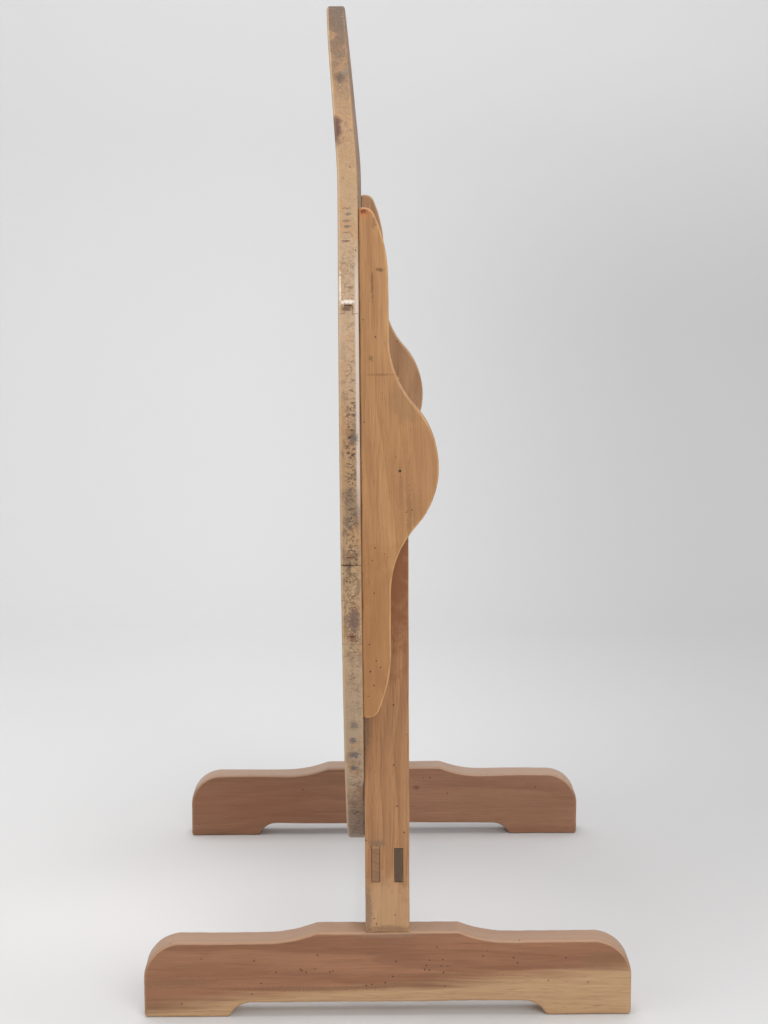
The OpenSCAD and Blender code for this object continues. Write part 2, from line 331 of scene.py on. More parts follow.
# %% Lathe and saw
def lathe(profile, centre, direction, sides=48):
    """Points at centre + direction * height + radius * (cos t, sin t) in the plane across direction."""
    r, h = np.array(profile, float).T
    t = np.linspace(0, 2 * np.pi, sides, endpoint=False)
    d = np.array(direction, float)
    one = np.cross(d, [0, 0, 1]) if abs(d[2]) < 0.9 else np.cross(d, [1, 0, 0])
    one /= np.linalg.norm(one)
    two = np.cross(d, one)
    around = np.cos(t)[:, None] * one + np.sin(t)[:, None] * two
    points = np.array(centre) + h[:, None, None] * d + r[:, None, None] * around[None]
    grid = np.arange(len(r) * sides).reshape(len(r), sides)
    nxt = np.roll(grid, -1, axis=1)
    quads = np.column_stack([grid[:-1].ravel(), nxt[:-1].ravel(), nxt[1:].ravel(), grid[1:].ravel()])
    points = points.reshape(-1, 3)
    return points, quads, np.zeros(len(points)), np.zeros(len(points))


def rod(radius, length, centre, direction, sides=48):
    """A plain closed cylinder, for cutting with."""
    return lathe([(0, 0), (radius, 0), (radius, length), (0, length)], centre, direction, sides)


def block(low, high):
    """The eight corners and six sides of a box, as a shell."""
    x, y, z = np.array([low, high]).T
    points = np.array([[a, b, c] for a in x for b in y for c in z])
    quads = np.array([[0, 1, 3, 2], [4, 6, 7, 5], [0, 4, 5, 1], [2, 3, 7, 6], [0, 2, 6, 4], [1, 5, 7, 3]])
    return points, quads, np.zeros(8), np.zeros(8)


def add(piece, extra):
    """Puts the faces of another piece into this one, unjoined, and drops the other."""
    work = bmesh.new()
    work.from_mesh(piece.data)
    work.from_mesh(extra.data)
    work.to_mesh(piece.data)
    work.free()
    bpy.data.objects.remove(extra)
    return piece


def moved(shell, *ways):
    """A shell with its points led through one function after another."""
    points = shell[0]
    for way in ways:
        points = way(points)
    return points, *shell[1:]


def cut(piece, *shells):
    """Takes the shells away from the piece, and bakes the result into its mesh."""
    tool = mesh_of("tool", shells)
    saw = piece.modifiers.new("saw", "BOOLEAN")
    saw.operation, saw.solver, saw.object = "DIFFERENCE", "EXACT", tool
    result = piece.evaluated_get(bpy.context.evaluated_depsgraph_get())
    mesh = bpy.data.meshes.new_from_object(result)
    piece.modifiers.clear()
    piece.data = mesh
    mesh.polygons.foreach_set("use_smooth", np.ones(len(mesh.polygons), bool))
    mesh.set_sharp_from_angle(angle=math.radians(50))
    bpy.data.objects.remove(tool)
    return piece


# %% [markdown]
# ## Wood
#
# Sawn wood shows a solid pattern cut open, so its colour is worked out in space and not painted on.
# Rings run round a pith line along the grain, bent by slow waves. Thin fibres and pores are noise that
# is squeezed across the grain and drawn out along it. Cut along the fibres, the same pattern shows
# streaks; cut across, it shows rings and dots, and end grain comes by itself.

# %% A small helper for shader nodes
class Graph:
    """Adds nodes to a material, and takes either a socket or a plain value for each input."""

    def __init__(self, name):
        self.material = bpy.data.materials.new(name)
        self.material.use_nodes = True
        self.tree = self.material.node_tree
        self.tree.nodes.clear()
        self.place = self.node("ShaderNodeTexCoord").outputs["Object"]

    def node(self, kind, inputs=None, **settings):
        made = self.tree.nodes.new(kind)
        for key, value in settings.items():
            setattr(made, key, value)
        for key, value in (inputs or {}).items():
            if isinstance(value, bpy.types.NodeSocket):
                self.tree.links.new(value, made.inputs[key])
            else:
                made.inputs[key].default_value = value
        return made

    def math(self, operation, a, b=0.0, clamp=False):
        return self.node("ShaderNodeMath", {0: a, 1: b}, operation=operation, use_clamp=clamp).outputs[0]

    def plus(self, a, b):
        return self.math("ADD", a, b)

    def less(self, a, b):
        return self.math("SUBTRACT", a, b)

    def times(self, a, b):
        return self.math("MULTIPLY", a, b)

    def rest(self, share):
        """What a share leaves of 1."""
        return self.math("SUBTRACT", 1.0, share)

    def vector(self, operation, a, b=(0, 0, 0)):
        return self.node("ShaderNodeVectorMath", {0: a, 1: b}, operation=operation).outputs[0]

    def length(self, vector):
        return self.node("ShaderNodeVectorMath", {0: vector}, operation="LENGTH").outputs["Value"]

    def axes(self, vector):
        return self.node("ShaderNodeSeparateXYZ", {0: vector}).outputs

    def red(self, colour):
        return self.node("ShaderNodeSeparateColor", {0: colour}).outputs[0]

    def noise(self, vector, scale, detail=3.0, rough=0.55, distortion=0.0, output=0):
        """Noise over a vector that is scaled along each axis; its colour is three such noises."""
        vector = self.vector("MULTIPLY", vector, scale)
        return self.node("ShaderNodeTexNoise", {"Vector": vector, "Scale": 1.0, "Detail": detail,
                                                "Roughness": rough, "Distortion": distortion}).outputs[output]

    def step(self, value, low, high):
        """0 below low, 1 above high, and smooth between them."""
        return self.node("ShaderNodeMapRange", {"Value": value, "From Min": low, "From Max": high},
                         interpolation_type="SMOOTHSTEP").outputs[0]

    def mix(self, share, a, b, blend="MIX"):
        made = self.node("ShaderNodeMix", {0: share, 6: a, 7: b}, data_type="RGBA", blend_type=blend)
        return made.outputs[2]

    def finish(self, shader):
        """Leads a shader to the material's output."""
        self.tree.links.new(shader.outputs[0], self.node("ShaderNodeOutputMaterial").inputs[0])
        return self.material

    def attribute(self, name):
        return self.node("ShaderNodeAttribute", attribute_name=name).outputs["Fac"]

    def ramp(self, value, stops):
        made = self.node("ShaderNodeValToRGB", {0: value})
        elements = made.color_ramp.elements
        elements[0].position, elements[0].color = stops[0]
        elements[1].position, elements[1].color = stops[-1]
        for place, colour in stops[1:-1]:
            elements.new(place).color = colour
        return made.outputs[0]


def tone(red, green, blue):
    """An 8-bit sRGB colour as linear values: ((c + 0.055) / 1.055) to the power 2.4."""
    c = np.array([red, green, blue]) / 255
    value = np.where(c <= 0.04045, c / 12.92, ((c + 0.055) / 1.055) ** 2.4)
    return (*value.tolist(), 1.0)


# %% [markdown]
# ## The wood finish
#
# One recipe makes every wood here, and its settings tell them apart: which way the grain runs, where
# the pith lay, the colours of early and late wood, how much worm and stain there is. The colour is
# built up in layers: rings and fibres first, then sapwood, dust with a painted sheen on the feet's
# upper faces, stains and worm, and last a painted highlight, warm and light, along the rubbed arrises.

# %% One recipe for every wood
GRAIN = {"X": (1, 2, 0), "Y": (0, 2, 1), "Z": (0, 1, 2)}
FINE_STAIN = 0.009
HOLE_DEEP = 0.02
CELLS_PER_M = 80.0


def mark(g, spot, size, fray, ragged, low, high):
    """1 inside an ellipsoid and 0 outside, past a border that (fray - 0.5) * ragged moves."""
    away = g.length(g.vector("DIVIDE", g.vector("SUBTRACT", g.place, spot), size))
    return g.rest(g.step(g.plus(away, g.times(g.less(fray, 0.5), ragged)), low, high))


def wood(name, grain, pith, light, dark, late, worn_and_highlight, pitch=0.006, figure=0.45, streak=0.6, worm=0.5,
         worm_size=0.0011, rough=0.5, sap=None, blots=(), rim=None, seed=0.0, crisp=1.0, dust_and_sheen=None, rub_and_highlight=0.7,
         holes=()):
    """Rings at length(across - pith) / pitch, streaked by noise drawn out along the grain."""
    g = Graph(name)
    parts = g.axes(g.place)
    a, b, along = (parts[k] for k in GRAIN[grain])
    q = g.node("ShaderNodeCombineXYZ", {0: a, 1: b, 2: along}).outputs[0]
    q = g.vector("ADD", q, (seed, 1.7 * seed, 2.3 * seed))

    # slow bends of the trunk, then small ripples
    bend = g.noise(q, (5.0, 5.0, 1.6), 2, output="Color")
    bend = g.vector("MULTIPLY", g.vector("SUBTRACT", bend, (0.5, 0.5, 0.5)), (0.05, 0.05, 0))
    ripple = g.noise(q, (38, 38, 7), 3, output="Color")
    ripple = g.vector("MULTIPLY", g.vector("SUBTRACT", ripple, (0.5, 0.5, 0.5)), (0.005, 0.005, 0))
    bent = g.vector("ADD", g.vector("ADD", q, bend), ripple)

    # growth rings, each with its own strength
    shift = (-(pith[0] + seed), -(pith[1] + 1.7 * seed), 0)
    out = g.vector("MULTIPLY", g.vector("ADD", bent, shift), (1, 1, 0))
    count = g.math("DIVIDE", g.length(out), pitch)
    phase = g.math("FRACT", count)
    own = g.node("ShaderNodeTexWhiteNoise", {"W": g.math("FLOOR", count)}, noise_dimensions="1D").outputs[0]
    late_wood = g.times(g.step(phase, 0.15, 0.88), g.rest(g.step(phase, 0.9, 1.0)))
    ring = g.times(late_wood, g.plus(g.times(own, 0.7), 0.3))

    # streaks, fibres and pores, each finer than the last
    broad = g.noise(bent, (55, 55, 2.2), 4, 0.6)
    fine = g.noise(bent, (330, 330, 7), 3, 0.65)
    fibre = g.noise(q, (950, 950, 26), 2, 0.6)
    pore = g.step(g.noise(q, (820, 820, 55), 1), 0.64, 0.74)
    cloud = g.noise(q, (8, 8, 4), 3, 0.6, 0.4)

    colour = g.mix(g.times(g.step(broad, 0.32, 0.68), streak), light, dark)
    colour = g.mix(g.times(g.step(cloud, 0.4, 0.72), 0.45), colour, dark)
    colour = g.mix(g.times(ring, figure), colour, late)
    colour = g.mix(g.times(g.step(fine, 0.45, 0.75), 0.5 * crisp), colour, late)
    if sap:
        # pale sapwood under a sloping line: height = start + slope * distance along the grain
        start, slope, soft, pale = sap
        height = g.less(b, g.plus(g.times(along, slope), start))
        frayed = g.plus(height, g.times(g.less(broad, 0.5), 0.030))
        inside = g.rest(g.step(frayed, -soft, soft))
        pale = g.mix(g.times(g.step(fine, 0.42, 0.72), 0.35), pale, light)
        colour = g.mix(g.times(inside, 0.9), colour, pale)
        border = g.times(inside, g.rest(inside))
        streaky = g.times(g.times(border, 4.0), g.step(broad, 0.40, 0.62))
        colour = g.mix(g.times(streaky, 0.65), colour, late)
    thin, full = 1 - 0.20 * crisp, 1 + 0.16 * crisp
    colour = g.mix(1.0, colour, g.ramp(fibre, [(0.25, (thin, thin, thin, 1)), (0.75, (full, full, full, 1))]),
                   "MULTIPLY")
    colour = g.mix(g.times(pore, 0.45 * crisp), colour, late)
    if dust_and_sheen:
        # painted sheen with dust: the upper faces are painted paler and greyer, for the overhead light's
        # sheen on them and for dust
        colour = g.mix(g.times(g.attribute("rim"), 0.62), colour, dust_and_sheen)

    # the outer rim is weathered on its own
    rim_rough = 0.0
    if rim:
        colour, rim_rough = weathered(g, colour, rim)

    # blots: soft marks with frayed borders, each at its own place; most are stains, and on the planks a few
    # paint the joint's shadow and lit edges
    broad_fray = g.noise(g.place, (70, 70, 70), 4, 0.7)
    fine_fray = g.noise(g.place, (420, 420, 420), 3, 0.7)
    for spot, size, strength, tint in blots:
        fray, ragged = (fine_fray, 2.2) if min(size) < FINE_STAIN else (broad_fray, 1.3)
        colour = g.mix(g.times(mark(g, spot, size, fray, ragged, 0.45, 1.1), strength), colour, tint)

    # single worm holes, small and crisp
    for spot, radius in holes:
        pit = mark(g, spot, (radius, HOLE_DEEP, radius), fine, 0.8, 0.75, 1.05)
        colour = g.mix(g.times(pit, 0.9), colour, tone(58, 36, 24))

    # worm holes gather in some places and leave others alone
    cells = g.node("ShaderNodeTexVoronoi", {"Vector": g.place, "Scale": CELLS_PER_M, "Randomness": 1.0})
    hole_size = worm_size * CELLS_PER_M
    hole = g.rest(g.step(cells.outputs["Distance"], hole_size * 0.7, hole_size * 1.15))
    chosen = g.step(g.red(cells.outputs["Color"]), 1.0 - worm, 1.02 - worm)
    gather = g.step(g.noise(g.place, (9, 9, 9), 1), 0.40, 0.52)
    hole = g.times(hole, g.times(chosen, gather))
    colour = g.mix(g.times(hole, 0.85), colour, tone(62, 42, 30))

    # rubbed arrises with a painted highlight: paler along each rounded arris, and a little glossier
    handled = g.noise(g.place, (45, 45, 45), 3)
    rubbed_and_highlight = g.times(g.attribute("wear"), g.step(handled, 0.25, 0.6))
    if rim:
        rubbed_and_highlight = g.times(rubbed_and_highlight, g.rest(g.times(g.attribute("rim"), 0.7)))
    colour = g.mix(g.times(rubbed_and_highlight, rub_and_highlight), colour, worn_and_highlight)

    # gloss and relief
    gloss = g.plus(rough, g.times(g.less(broad, 0.5), 0.22))
    gloss = g.math("ADD", gloss, g.plus(g.times(rubbed_and_highlight, -0.08), rim_rough), clamp=True)
    relief = g.plus(g.times(fibre, 0.35), g.times(ring, 0.18))
    relief = g.less(relief, g.times(pore, 0.5))
    relief = g.less(relief, g.times(hole, 4.0))
    relief = g.plus(relief, g.times(g.noise(q, (30, 30, 9), 2), 0.8))
    bump = g.node("ShaderNodeBump", {"Strength": 0.5, "Distance": 0.0005, "Height": relief}).outputs[0]
    shader = g.node("ShaderNodeBsdfPrincipled", {"Base Color": colour, "Roughness": gloss, "Normal": bump,
                                                 "Specular IOR Level": 0.4})
    return g.finish(shader)


def weathered(g, colour, rim):
    """Greyed end grain on the rim: tints that change with height, dark strokes, curls, and painted highlights
    along its edges.
    """
    low, high, tints, mottle, curls = rim
    x, _, z = g.axes(g.place)
    height = g.math("DIVIDE", g.less(z, low), high - low)

    # across runs from 0 at the underside to 1 at the upper face, with the lean and the bend taken out
    rise = g.less(z, PIVOT_Z)
    d = g.less(rise, CUP_START)
    bend = g.times(g.plus(d, g.math("SQRT", g.plus(g.times(d, d), CUP_EASE))), CUP_SLOPE / 2)
    flat = g.plus(g.plus(x, bend), g.times(rise, math.sin(LEAN)))
    across = g.math("DIVIDE", g.plus(flat, UNDER), -TOP_T)
    middle = g.rest(g.step(g.math("ABSOLUTE", g.less(across, 0.42)), 0.10, 0.46))

    speck = g.noise(g.place, (420, 160, 420), 4, 0.75)
    stroke = g.noise(g.place, (190, 60, 330), 4, 0.7, 0.6)
    blot = g.noise(g.place, (110, 50, 60), 4, 0.7)
    curl = g.math("ABSOLUTE", g.less(g.noise(g.place, (130, 60, 130), 2, 0.5, 1.2), 0.5))
    strength, curly = g.red(g.ramp(height, mottle)), g.red(g.ramp(height, curls))
    aged = g.ramp(height, tints)
    aged = g.mix(g.times(g.step(blot, 0.46, 0.64), g.times(strength, 0.75)), aged, tone(112, 90, 74))
    warm = g.noise(g.place, (60, 30, 34), 2)
    aged = g.mix(g.times(g.step(warm, 0.50, 0.66), 0.40), aged, tone(186, 136, 88))
    dark = g.times(g.step(stroke, 0.50, 0.60), g.times(strength, middle))
    aged = g.mix(g.times(dark, 0.9), aged, tone(74, 56, 44))
    aged = g.mix(g.times(g.rest(g.step(curl, 0.004, 0.022)), curly), aged, tone(92, 66, 50))
    aged = g.mix(g.times(g.step(speck, 0.60, 0.70), 0.65), aged, tone(84, 62, 48))
    pale = g.rest(g.step(speck, 0.32, 0.44))
    aged = g.mix(g.times(pale, 0.30), aged, tone(214, 192, 164))

    # painted highlights on the arrises beside the faces: the underside's along part of the rim, the upper
    # face's all along
    window = g.times(g.step(rise, -0.06, 0.02), g.rest(g.step(rise, 0.21, 0.27)))
    right_edge_highlight = g.rest(g.step(across, 0.10, 0.24))
    aged = g.mix(g.times(g.times(right_edge_highlight, window), 0.85), aged, tone(214, 204, 194))
    left_edge_highlight = g.step(across, 0.86, 0.94)
    aged = g.mix(g.times(left_edge_highlight, 0.45), aged, tone(220, 188, 150))
    on_rim = g.attribute("rim")
    return g.mix(g.times(on_rim, 0.94), colour, aged), g.times(on_rim, 0.25)


# %% [markdown]
# ## The finishes
#
# The table was made from what was at hand, so its parts don't match. The near bearer is a light, warm
# fruitwood, and its twin is browner. The feet are reddish heartwood, the near one with a pale band of
# sapwood along the bottom. The top has greyed at its rim, where the end grain drinks water and dirt.

# %% Mix the finishes
def rows(text, width):
    """The numbers in a text, as rows of the given width."""
    return np.array(text.split(), float).reshape(-1, width).tolist()


def blots_at(text, up=0.0):
    """Blots from rows of x, y and height over up, three half widths, strength, red, green and blue."""
    return [((x, y, up + z), tuple(size[:3]), size[3], tone(*size[4:])) for x, y, z, *size in rows(text, 10)]


def holes_at(text, up=0.0):
    """Worm holes from rows of x, y, height over up and radius."""
    return [((x, y, up + z), radius) for x, y, z, radius in rows(text, 4)]


def tint_stops(text):
    """Ramp stops from rows of place, red, green and blue."""
    return [(place, tone(*colour)) for place, *colour in rows(text, 4)]


def level_stops(text):
    """Ramp stops from pairs of place and grey level."""
    return [(place, (level, level, level, 1)) for place, level in rows(text, 2)]


NEAR_BEARER_STAINS = blots_at("""
     -0.024 -0.425  0.298  0.010 0.05  0.009  0.6 206 130 76
     -0.024 -0.425  0.298  0.005 0.05  0.004  0.9 132  66 42
     -0.006 -0.425  0.231  0.007 0.02 0.0025  0.7 120  78 46
    -0.0145 -0.425  0.212 0.0016 0.02  0.020  0.6 126  84 50
     -0.012 -0.425  0.285  0.004 0.02  0.008  0.5 130  90 58
     -0.005 -0.425  0.109  0.020 0.02 0.0016  0.5 140  98 64
    -0.0163 -0.425  0.128  0.003 0.02  0.004  0.6 126  88 54
     -0.012 -0.425   0.20  0.006 0.02  0.035 0.25 150 108 70
      0.022 -0.425  0.075  0.020 0.02  0.030 0.35 146 112 78
      0.028 -0.425 -0.055 0.0035 0.02  0.040 0.50 128  94 62
      0.018 -0.425 -0.030 0.0025 0.02  0.035 0.35 134  98 66
      0.036 -0.425 -0.050  0.008 0.02  0.030 0.30 140 104 70
     -0.006 -0.425 -0.255  0.010 0.02  0.020 0.35 140  96 58
      0.048 -0.425  -0.02  0.034 0.06   0.11 0.45 166 118 76
     -0.010 -0.425  -0.22  0.050 0.06   0.15 0.50 168 116 68""", PIVOT_Z)
NEAR_BEARER_HOLES = holes_at("""
    0.0169 -0.425 -0.0043 0.0020    -0.0253 -0.425 0.173 0.0008     -0.0249 -0.425 0.0537 0.0010
    0.0120 -0.425 0.012 0.0007      -0.0129 -0.425 -0.0958 0.0010   -0.016 -0.425 -0.111 0.0008
    0.0309 -0.425 -0.0507 0.0009    -0.011 -0.425 0.153 0.0010      -0.014 -0.425 -0.150 0.0009
    -0.020 -0.425 -0.212 0.0010     -0.012 -0.425 -0.232 0.0010     -0.019 -0.425 -0.245 0.0011
    -0.007 -0.425 -0.240 0.0010     -0.015 -0.425 -0.262 0.0010     -0.022 -0.425 -0.275 0.0009""", PIVOT_Z)
NEAR_FOOT_STAINS = blots_at("""
    -0.26 -0.395 0.045  0.06 0.03 0.008  0.4 118  84 60
    -0.10 -0.395 0.036  0.11 0.03 0.004  0.5 112  74 50
     0.06 -0.395 0.052  0.10 0.03 0.003  0.4 120  80 56
     0.27 -0.395 0.070 0.030 0.03 0.012 0.35 126  96 68
      0.0 -0.395 0.104  0.05 0.03 0.004  0.5 150 122 96""")
FAR_FOOT_STAINS = blots_at("""
    -0.20 0.355 0.050  0.12 0.03 0.045 0.35 158 102 72
     0.20 0.355 0.045  0.12 0.03 0.030 0.30 140 104 74
     0.05 0.355 0.075 0.006 0.03 0.004  0.6  92  60 42""")
POST_STAINS = blots_at("""
       0.0 -0.395  0.60  0.05 0.05  0.18 0.8 130  77  40
       0.0 -0.395 0.135  0.05 0.05  0.05 0.5 196 158 118
    -0.025 -0.395 0.135 0.008 0.03 0.040 0.6 112  92  74
    -0.025 -0.395  0.36 0.006 0.02 0.030 0.5 112  92  74
    -0.012 -0.395 0.221 0.012 0.02 0.005 0.6 112  92  74
       0.0  -0.38 0.112 0.034 0.05 0.006 0.5  96  70  50""")
RAIL_STAINS = blots_at("""
     0.014 -0.395 0.193 0.012 0.010 0.05 0.90  78  62 48
    -0.014 -0.395 0.193 0.012 0.010 0.05  0.3 130 104 76""")
spots = np.random.default_rng(17)
FOOT_FACE_Y, BAND_Z, BAND_SLOPE, FOOT_WORM_R = -0.395, 0.064, 0.06, 0.0011
NEAR_FOOT_HOLES = [((float(x), FOOT_FACE_Y, BAND_Z + BAND_SLOPE * float(x) + float(dz)), FOOT_WORM_R)
                   for x, dz in zip(spots.uniform(-0.17, 0.22, 24), spots.normal(0, 0.010, 24))]
near_bearer_wood = wood("near_bearer_wood", "Z", (0.16, 0.09), tone(206, 158, 108), tone(182, 133, 86),
                        tone(158, 110, 67), tone(226, 178, 122), pitch=0.0075, figure=0.36, streak=0.65,
                        worm=0.3, worm_size=0.0009, crisp=0.8, rub_and_highlight=0.55, blots=NEAR_BEARER_STAINS,
                        holes=NEAR_BEARER_HOLES)
far_bearer_wood = wood("far_bearer_wood", "Z", (0.14, -0.07), tone(184, 142, 104), tone(164, 122, 86),
                       tone(138, 98, 66), tone(206, 164, 118), pitch=0.007, figure=0.35, worm=0.4, seed=0.31,
                       crisp=0.6)
near_foot_wood = wood("near_foot_wood", "X", (0.10, 0.16), tone(160, 113, 82), tone(140, 93, 65),
                      tone(116, 75, 52), tone(180, 136, 98), pitch=0.008, figure=0.35, worm=0.4, rough=0.46,
                      sap=(0.038, 0.078, 0.010, tone(192, 156, 116)), seed=0.12, crisp=0.7, rub_and_highlight=0.45,
                      dust_and_sheen=tone(188, 156, 130), holes=NEAR_FOOT_HOLES, blots=NEAR_FOOT_STAINS)
far_foot_wood = wood("far_foot_wood", "X", (-0.12, 0.2), tone(160, 116, 88), tone(142, 98, 72),
                     tone(120, 80, 58), tone(178, 136, 106), pitch=0.007, figure=0.3, worm=0.3, rough=0.46,
                     seed=0.47, crisp=0.7, rub_and_highlight=0.45, dust_and_sheen=tone(196, 168, 146), blots=FAR_FOOT_STAINS)
post_wood = wood("post_wood", "Z", (0.11, 0.04), tone(180, 134, 92), tone(160, 111, 70), tone(126, 82, 50),
                 tone(196, 150, 104), pitch=0.0055, figure=0.4, worm=0.45, seed=0.05, streak=0.45, rub_and_highlight=0.45,
                 blots=POST_STAINS)
rail_wood = wood("rail_wood", "Y", (0.02, 0.30), tone(160, 116, 80), tone(138, 96, 64), tone(110, 74, 48),
                 tone(190, 146, 102), pitch=0.006, figure=0.5, worm=0.4, seed=0.83, blots=RAIL_STAINS)
peg_wood = wood("peg_wood", "Y", (0.004, 0.01), tone(176, 138, 98), tone(150, 112, 76), tone(120, 86, 56),
                tone(200, 160, 116), pitch=0.002, figure=0.4, worm=0.0, seed=0.66)
pin_wood = wood("pin_wood", "Y", (0.0, 0.01), tone(128, 92, 64), tone(104, 72, 50), tone(80, 54, 38),
                tone(150, 112, 78), pitch=0.002, figure=0.4, worm=0.0, rough=0.34, seed=0.21)
print("mixed", len(bpy.data.materials), "finishes")

# %% The planks' finish, with the rim's own weather
RIM_LOW, RIM_HIGH = PIVOT_Z - TOP_R, PIVOT_Z + TOP_R
rim_tints = tint_stops("""
    0.00 176 166 160    0.05 168 150 134    0.11 182 158 134    0.257 178 152 124
    0.377 186 154 116   0.484 172 138 102   0.553 178 142 106   0.63 194 164 134
    0.74 184 156 124    0.80 174 142 107    0.872 166 132 97    0.928 122 95 68
    0.973 98 74 53      1.00 84 66 53""")
rim_mottle = level_stops("""
    0.00 0.3    0.08 0.7    0.17 0.6    0.22 0.15   0.33 0.7    0.45 1
    0.58 1      0.63 0.35   0.70 0.3    0.80 0.1    0.88 0.25   0.93 0.5
    1.00 0.4""")
rim_curls = level_stops("""
    0.00 0.2    0.30 0.1    0.34 0.8    0.41 0.6    0.46 0.1    0.66 0.1
    0.70 0.75   0.74 0.5    0.77 0      0.82 0.1    0.85 0.8    0.875 0.1
    0.91 0.7    0.93 0.1    0.96 0.3""")
# Most rows are stains and marks on the rim. The rows at 0.1935, 0.2000 and 0.2150 up paint the
# tongue-and-groove joint: a painted shadow in its gap, and white on its edges that is partly filler and
# partly painted highlight.
RIM_STAINS_AND_JOINT_LIGHT = blots_at("""
    -0.0515 -0.32  0.453 0.0075 0.25 0.0075 0.85  84  66  54
    -0.0460 -0.32  0.459 0.0050 0.25 0.0060 0.60 112 104  90
    -0.0565 -0.39  0.390 0.0095 0.25 0.0190 0.95  92  56  48
    -0.0520 -0.18  0.525 0.0060 0.30 0.0250 0.35 100  84  74
    -0.0370 -0.53 -0.160 0.0080 0.12 0.0220 0.80 110  84  76
    -0.0390 -0.51 -0.182 0.0050 0.12 0.0080 0.70 112  62  42
    -0.0400 -0.55 -0.030 0.0090 0.12 0.0300 0.45 112  98  84
    -0.0360 -0.55  0.050 0.0060 0.12 0.0080 0.70 100  88  80
    -0.0410 -0.54 -0.094 0.0200 0.12 0.0011 0.90  64  44  32
    -0.0390 -0.40 -0.300 0.0060 0.25 0.0070 0.60  98  92  92
    -0.0405 -0.40 -0.322 0.0050 0.25 0.0050 0.75  92  88  90
    -0.0395 -0.40 -0.344 0.0070 0.25 0.0065 0.75  92  88  90
    -0.0400 -0.40 -0.365 0.0055 0.25 0.0045 0.80  88  84  86
    -0.0427 -0.52 0.1935 0.0075 0.12 0.0042 0.85  98  72  52
    -0.0427 -0.52 0.2000 0.0100 0.12 0.0026 0.95 232 222 208
    -0.0505 -0.52 0.2150 0.0014 0.12 0.0200 0.85 232 222 208
    -0.0430 -0.48 0.3022 0.0055 0.20 0.0015 0.60 104  92  80
    -0.0415 -0.48 0.2957 0.0055 0.20 0.0020 0.75 104  92  80
    -0.0432 -0.48 0.2884 0.0055 0.20 0.0014 0.65 104  92  80
    -0.0420 -0.48 0.2822 0.0055 0.20 0.0019 0.80 104  92  80
    -0.0434 -0.48 0.2757 0.0055 0.20 0.0013 0.55 104  92  80
    -0.0440 -0.49 0.2663 0.0060 0.20 0.0012 0.80  70  48  34""", PIVOT_Z)
RIM_HOLES = holes_at("""
    -0.0405 -0.552 0.0515 0.0014    -0.0330 -0.497 0.2560 0.0010
    -0.0490 -0.545 -0.1040 0.0010   -0.0450 -0.540 -0.1130 0.0012""", PIVOT_Z)


def plank_wood(name, pith, light, dark, late, seed):
    """The planks share their rim and stains, and differ in tree and colour."""
    return wood(name, "Y", pith, light, dark, late, tone(206, 172, 132), pitch=0.007, figure=0.5, worm=0.45,
                rough=0.5, blots=RIM_STAINS_AND_JOINT_LIGHT, seed=seed,
                rim=(RIM_LOW, RIM_HIGH, rim_tints, rim_mottle, rim_curls),
                holes=RIM_HOLES)


plank_woods = [plank_wood(f"plank_{k}_wood", pith, tone(*light), tone(*dark), tone(*late), seed)
               for k, pith, light, dark, late, seed in (
                   (1, (0.10, 0.34), (158, 116, 78), (134, 94, 60), (108, 72, 46), 0.11),
                   (2, (-0.12, 0.55), (166, 124, 86), (144, 104, 68), (114, 78, 50), 0.37),
                   (3, (0.08, 0.74), (154, 112, 76), (130, 92, 60), (104, 70, 46), 0.59),
                   (4, (-0.10, 0.92), (162, 120, 82), (140, 98, 64), (112, 76, 48), 0.93))]

# %% [markdown]
# ## Bearers
#
# A bearer is the batten that holds the planks together and carries the pivot. Its outline is a long
# straight arm that swells into a round bulge, where the wood has to be deep enough for the pin. The
# bulge is one arc, and the hollow beside it a second arc that meets it without a corner. Towards its
# end the arm thins in a long sweep and turns up to the planks round a blunt nose.

# %% Draw a bearer's sides
ARM = 0.034
BULGE = 0.0915
BULGE_R = 0.107
HOLLOW_R = 0.122
END_R = 0.195
END_RUN = 0.084
NOSE_R = 0.014
CORNER_R = 0.004
BEARER_HALF = 0.302
arm_x = ARM - UNDER
sweep_x = arm_x - END_R
sweep_z = BEARER_HALF - END_RUN
nose_z = BEARER_HALF - NOSE_R
nose_x = sweep_x + math.sqrt((END_R - NOSE_R) ** 2 - (nose_z - sweep_z) ** 2)
nose_turn = math.degrees(math.atan2(nose_z - sweep_z, nose_x - sweep_x))


def bearer_half():
    """The outer side of half a bearer, from the tip of the bulge to the end of the arm."""
    bulge_x = BULGE - UNDER - BULGE_R
    hollow_x = arm_x + HOLLOW_R
    reach = BULGE_R + HOLLOW_R
    hollow_z = math.sqrt(reach ** 2 - (hollow_x - bulge_x) ** 2)
    angle = math.degrees(math.atan2(hollow_z, hollow_x - bulge_x))
    return np.vstack([arc(bulge_x, 0, BULGE_R, 0, angle), arc(hollow_x, hollow_z, HOLLOW_R, 180 + angle, 180),
                      arc(sweep_x, sweep_z, END_R, 0, nose_turn)])


outer_up = bearer_half()
outer = np.vstack([(outer_up * [1, -1])[::-1], outer_up[1:]])
corner_x = -UNDER + CORNER_R
end_top = np.vstack([arc(corner_x, BEARER_HALF - CORNER_R, CORNER_R, 180, 90),
                     arc(nose_x, nose_z, NOSE_R, 90, nose_turn)])
bearer_sides = {"low": end_top * [1, -1], "high": end_top,
                "left": line((-UNDER, -BEARER_HALF + CORNER_R), (-UNDER, BEARER_HALF - CORNER_R)),
                "right": outer}
print(f"a bearer is {2 * BEARER_HALF:.3f} m long and {BULGE:.3f} m deep at its bulge")

# %% Make both bearers, and bore them
BEARER_ARRIS = 0.0022
LOCK_R = 0.008
LOCK_DROP = 0.036
LOCK_DEEP = 0.016
PIN_R = 0.011
PIN_DEEP = 0.0222
PIN_BORE_R = PIN_R + 0.0001
PAST = 0.002


